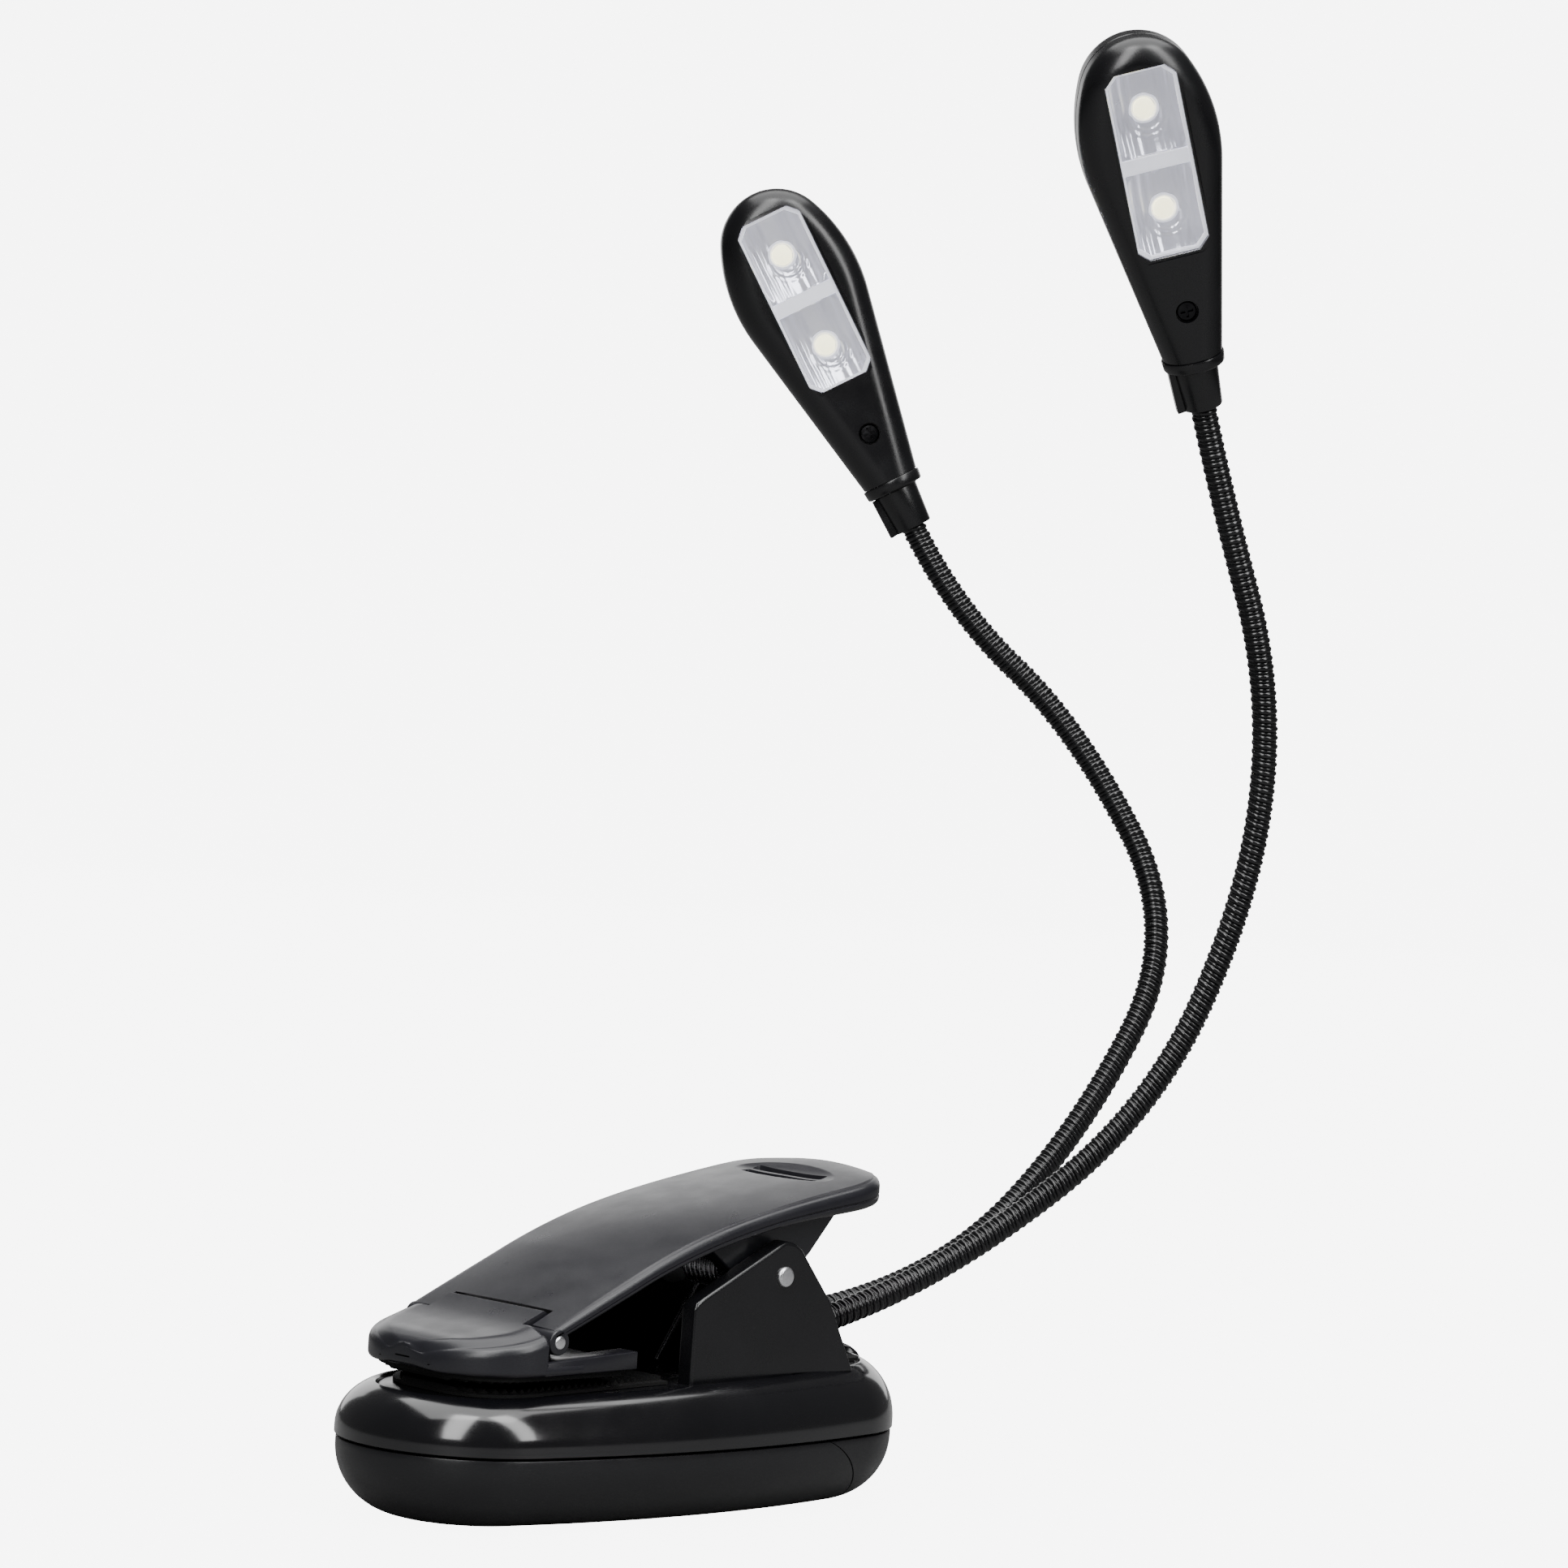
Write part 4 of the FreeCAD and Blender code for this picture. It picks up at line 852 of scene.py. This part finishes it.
def lens_outline(grow):
    """The window's outline with cut corners, moved outwards by grow."""
    w, l, c = LENS_HALF_W + grow, LENS_HALF_L + grow, LENS_CUT
    m = LENS_MIDDLE
    return [(w, m - l + c), (w, m + l - c), (w - c, m + l), (-w + c, m + l),
            (-w, m + l - c), (-w, m - l + c), (-w + c, m - l), (w - c, m - l)]


def face_point(x, z, back):
    """A point behind the sloping front face by back."""
    return (x, -face_depth(z) + back, z)


def lens_block(name, grow, near, far, material):
    """A block with the window's outline, from near to far behind the face."""
    rings = [[face_point(x, z, y) for x, z in lens_outline(grow)] for y in (near, far)]
    return make_object(name, *skin(rings), material)


def reflector_depth(x, z):
    """The reflector's floor: a shallow bowl round each emitter and a flat divider."""
    away = abs(z - LENS_MIDDLE)
    if away < DIVIDER_HALF + 0.05:
        return 1.75
    reach = math.hypot(x / 5.4, (away - EMITTER_OFFSET) / 6.6)
    depth = BOWL_DEPTH - 1.7 * min(reach, 1.2) ** 2
    depth += 0.09 * math.sin(x * 4.2) * min(1.0, abs(x) / 2.0)
    emitter = LENS_MIDDLE + EMITTER_OFFSET * math.copysign(1, z - LENS_MIDDLE)
    ring = math.hypot(x - 0.3, z - emitter + 1.2)
    if z < emitter and 1.6 < ring < 4.0:
        depth += 0.12 * math.sin((ring - 1.6) * 7.5) * (1 - (ring - 1.6) / 2.4)
    return depth


def reflector(name):
    """The silvered floor of both bowls, closed at the back into a solid."""
    xs = np.linspace(-LENS_HALF_W + 0.05, LENS_HALF_W - 0.05, 53)
    zs = np.concatenate([
        np.linspace(LENS_MIDDLE - LENS_HALF_L + 0.05, LENS_MIDDLE - 1.2, 64),
        np.linspace(LENS_MIDDLE - DIVIDER_HALF, LENS_MIDDLE + DIVIDER_HALF, 5),
        np.linspace(LENS_MIDDLE + 1.2, LENS_MIDDLE + LENS_HALF_L - 0.05, 64),
    ])
    points = [face_point(x, z, reflector_depth(x, z)) for z in zs for x in xs]
    faces = []
    across = len(xs)
    for j in range(len(zs) - 1):
        for i in range(across - 1):
            a = j * across + i
            faces.append((a, a + 1, a + across + 1, a + across))
    edge = list(range(across))
    edge += [j * across + across - 1 for j in range(1, len(zs))]
    edge += [(len(zs) - 1) * across + i for i in range(across - 2, -1, -1)]
    edge += [j * across for j in range(len(zs) - 2, 0, -1)]
    first = len(points)
    for index in edge:
        x, _, z = points[index]
        points.append(face_point(x, z, 4.1))
    count = len(edge)
    for i in range(count):
        j = (i + 1) % count
        faces.append((edge[i], edge[j], first + j, first + i))
    faces.append(tuple(first + i for i in range(count)))
    return make_object(name, points, faces, MIRROR_PAINTED_GLOW, 50)


def head_frame(name):
    """A head's frame: Z along the end of its gooseneck, -Y out of its window."""
    marks = [Vector(p) for p in ROUTES[name]]
    along = (marks[-1] - marks[-2]).normalized()
    facing = Vector(FACING[name])
    facing = (facing - along * facing.dot(along)).normalized()
    across = along.cross(facing)
    origin = (marks[-1] + marks[-2]) / 2
    turn = Matrix((across, -facing, along)).transposed().to_4x4()
    return Matrix.Translation(origin) @ turn


def settle(piece, place):
    """Moves a piece modelled in a head's own frame into the row frame."""
    scaled = Matrix.Translation(place.translation * MM) @ place.to_3x3().to_4x4()
    piece.data.transform(scaled)
    return piece


def out_of_face(origin):
    """A frame whose Z points out of the head's front, at a point given in the head's frame."""
    return Matrix.Translation(origin) @ Matrix.Rotation(math.pi / 2, 4, "X")


def head(name):
    """One reading head: its shells, window, reflector, emitters, screw and ferrule."""
    place = head_frame(name)
    body = f"{name}_head"
    front = half_shell(f"{name}_front_skin", -1, 0.04)
    front = carve(front, lens_block("window", 0.14, -2.0, 4.12, HEAD), sharp=40)
    step = lens_block("window_step", 0.55, -2.0, 0.22, HEAD)
    front = carve(front, step, sharp=40)
    hole = lathe("hole", [(1.7, 0), (1.7, 6)], HEAD, out_of_face((0, -3.45, HEAD_SCREW_Z)))
    front = carve(front, hole, sharp=40)
    stand_for(settle(front, place), body, "head_shell", f"{name}_front_shell")

    back = half_shell(f"{name}_back_skin", 1, 0.1)
    stand_for(settle(back, place), body, "head_shell", f"{name}_back_shell")

    lens = lens_block(f"{name}_lens_skin", 0.05, 0.3, 1.1, LENS)
    round_off(lens, 0.12, 2)
    stand_for(settle(lens, place), body, "lens_clear", f"{name}_lens")

    bowl = reflector(f"{name}_bowl")
    half, low, high = LENS_HALF_W - 0.1, LENS_MIDDLE - DIVIDER_HALF, LENS_MIDDLE + DIVIDER_HALF
    band = [(-half, low), (half, low), (half, high), (-half, high)]
    rings = [[face_point(x, z, depth) for x, z in band] for depth in (1.25, 1.8)]
    band = make_object("divider", *skin(rings), WHITE_PAINTED_GLOW)
    rings = [[face_point(x, z, depth) for x, z in lens_outline(grow)]
             for grow, depth in ((0.0, 1.15), (-0.32, 1.15), (-0.32, 2.6), (0.0, 2.6))]
    rim = make_object("rim", *skin(rings, False, False, True), WHITE_PAINTED_GLOW)
    bowl = join(f"{name}_bowl", bowl, band, rim)
    stand_for(settle(bowl, place), body, "reflector_silver", f"{name}_reflector")

    domes = []
    radius = 1.55
    for sign in (-1, 1):
        z = LENS_MIDDLE + sign * EMITTER_OFFSET
        spot = out_of_face((0, -face_depth(z) + BOWL_DEPTH, z))
        profile = [(radius, -0.1), (radius, 0.45)]
        for a in np.linspace(0.1, 1.5, 12):
            profile.append((radius * math.cos(a), 0.45 + 0.75 * math.sin(a)))
        domes.append(lathe("phosphor", profile, GLOW, spot, sharp=60))
        bezel = [(2.25, -0.2), (2.25, 0.25), (2.1, 0.4), (1.9, 0.45), (1.7, 0.3), (1.7, -0.2)]
        domes.append(lathe("bezel", bezel, WHITE_PAINTED_GLOW, spot, sharp=50))
    lights = join(f"{name}_emitters", *domes)
    stand_for(settle(lights, place), body, "led_phosphor", f"{name}_leds")

    profile = [(0.7, -3.4), (0.7, 0.0), (1.5, 0.0), (1.5, 0.45), (1.3, 0.62), (0.1, 0.72)]
    spot = out_of_face((0, -3.42, HEAD_SCREW_Z))
    screw = lathe(f"{name}_screw_skin", profile, SCREW, spot, sharp=35)
    for wide, tall in ((0.2, 0.95), (0.95, 0.2)):
        low, high = HEAD_SCREW_Z - tall, HEAD_SCREW_Z + tall
        outline = [(-wide, low), (wide, low), (wide, high), (-wide, high)]
        screw = carve(screw, prism("slot", outline, -4.6, -3.7, SCREW))
    stand_for(settle(screw, place), body, "screw_steel", f"{name}_head_screw")

    profile = [(1.9, 0.35), (2.5, 0.05), (2.85, 0.1), (2.98, 0.3), (3.42, 6.35), (3.6, 6.5),
               (4.15, 6.5), (4.4, 6.6), (4.55, 6.8), (4.7, 8.0), (4.62, 8.2), (4.35, 8.24)]
    ferrule = lathe(f"{name}_ferrule_skin", profile, HEAD, sharp=40)
    outline = [(-3.9, 0.0), (-2.2, 0.2), (-2.9, 6.4), (-4.1, 6.4)]
    tab = prism("tab", outline, -1.1, 1.1, HEAD, 0.15)
    ferrule = join(f"{name}_ferrule_skin", ferrule, tab)
    stand_for(settle(ferrule, place), body, "ferrule_black", f"{name}_ferrule")


def finish_cad_nodes():
    """Nodes shown as modelled take their detailed material here."""
    kinds = {
        "battery_tray": INNER, "arm_clamp": INNER, "push_switch": INNER, "driver_board": BOARD,
        "battery_1": CELL, "battery_2": CELL, "battery_3": CELL, "contact_springs": CONTACT,
        "contact_plates": CONTACT, "deck_pad_rear": RUBBER, "torsion_spring": SPRING,
        "bracket_screws": SCREW, "casing_screws": SCREW,
        "near_led_board": WHITE_PAINTED_GLOW, "far_led_board": WHITE_PAINTED_GLOW,
    }
    for node, material in kinds.items():
        shown = frame["nodes"][node]
        shown.data.materials.clear()
        shown.data.materials.append(material)
        for face in shown.data.polygons:
            face.use_smooth = True
        shown.data.set_sharp_from_angle(angle=math.radians(30))


# ------------------------------------------------------------------- the setting


SEEN_WHITE = 7.0  # how strongly the floor and the world show white to the camera


def area_light(name, place, target, width, height, power):
    """A white rectangular light at a place, turned to its target."""
    data = bpy.data.lights.new(name, "AREA")
    data.shape = "RECTANGLE"
    data.size, data.size_y = width, height
    data.energy = power
    lamp = bpy.data.objects.new(name, data)
    lamp.location = place
    lamp.rotation_mode = "QUATERNION"
    lamp.rotation_quaternion = (Vector(target) - Vector(place)).to_track_quat("-Z", "Y")
    bpy.context.scene.collection.objects.link(lamp)
    return lamp


def seen_or_felt(tree, seen, felt):
    """A strength that is one value where the stage is seen and another where it lights."""
    path = tree.nodes.new("ShaderNodeLightPath")
    pick = tree.nodes.new("ShaderNodeMapRange")
    pick.inputs["To Min"].default_value = felt
    pick.inputs["To Max"].default_value = seen
    tree.links.new(path.outputs["Is Camera Ray"], pick.inputs["Value"])
    return pick.outputs["Result"]


def setting():
    """The white stage, the lights and the camera, in metres."""
    reach = 30.0
    corners = [(-reach, -reach, 0), (reach, -reach, 0), (reach, reach, 0), (-reach, reach, 0)]
    mesh = bpy.data.meshes.new("floor")
    mesh.from_pydata(corners, [], [(0, 1, 2, 3)])
    greys = ((0.14, 0.14, 0.14), (0.17, 0.17, 0.17))
    material = surface("floor_paper", greys, (0.6, 0.75), relief=0.0)
    shader = material.node_tree.nodes["Principled BSDF"]
    shader.inputs["Emission Color"].default_value = (1, 1, 1, 1)
    glow = seen_or_felt(material.node_tree, SEEN_WHITE, 0.0)
    material.node_tree.links.new(glow, shader.inputs["Emission Strength"])
    mesh.materials.append(material)
    floor = bpy.data.objects.new("floor", mesh)
    floor.location.z = -0.0002
    bpy.context.scene.collection.objects.link(floor)

    world = bpy.data.worlds.new("studio")
    world.use_nodes = True
    background = world.node_tree.nodes["Background"]
    background.inputs["Color"].default_value = (1, 1, 1, 1)
    world.node_tree.links.new(
        seen_or_felt(world.node_tree, SEEN_WHITE, 0.11), background.inputs["Strength"]
    )
    bpy.context.scene.world = world

    target = (0.0, 0, 0.03)
    area_light("overhead", (0.1, 0.1, 1.4), target, 1.5, 1.5, 26.0)
    area_light("key", (-0.53, -0.33, 0.68), target, 0.26, 1.05, 9.0)
    area_light("second", (0.09, -0.64, 0.66), target, 0.24, 1.0, 7.0)
    backdrop = area_light("backdrop", (0.95, 1.0, 0.4), target, 1.7, 0.7, 6.0)
    backdrop.visible_camera = False

    data = bpy.data.cameras.new("camera")
    data.sensor_width = 36.0
    data.lens = 143.6
    data.clip_start, data.clip_end = 0.01, 100.0
    camera = bpy.data.objects.new("camera", data)
    right = (0.7168, -0.6942, 0.0651)
    up = (-0.0195, 0.0733, 0.9971)
    back = (-0.697, -0.716, 0.039)
    turn = Matrix((right, up, back)).transposed()
    camera.rotation_mode = "QUATERNION"
    camera.rotation_quaternion = turn.to_quaternion()
    camera.location = (-0.6087, -0.6504, 0.1390)
    bpy.context.scene.collection.objects.link(camera)
    bpy.context.scene.camera = camera


setting()
upper_shell()
lower_shell()
deck()
lever()
jaw()
pads()
button()
for arm in ROUTES:
    gooseneck(arm)
    head(arm)
finish_cad_nodes()
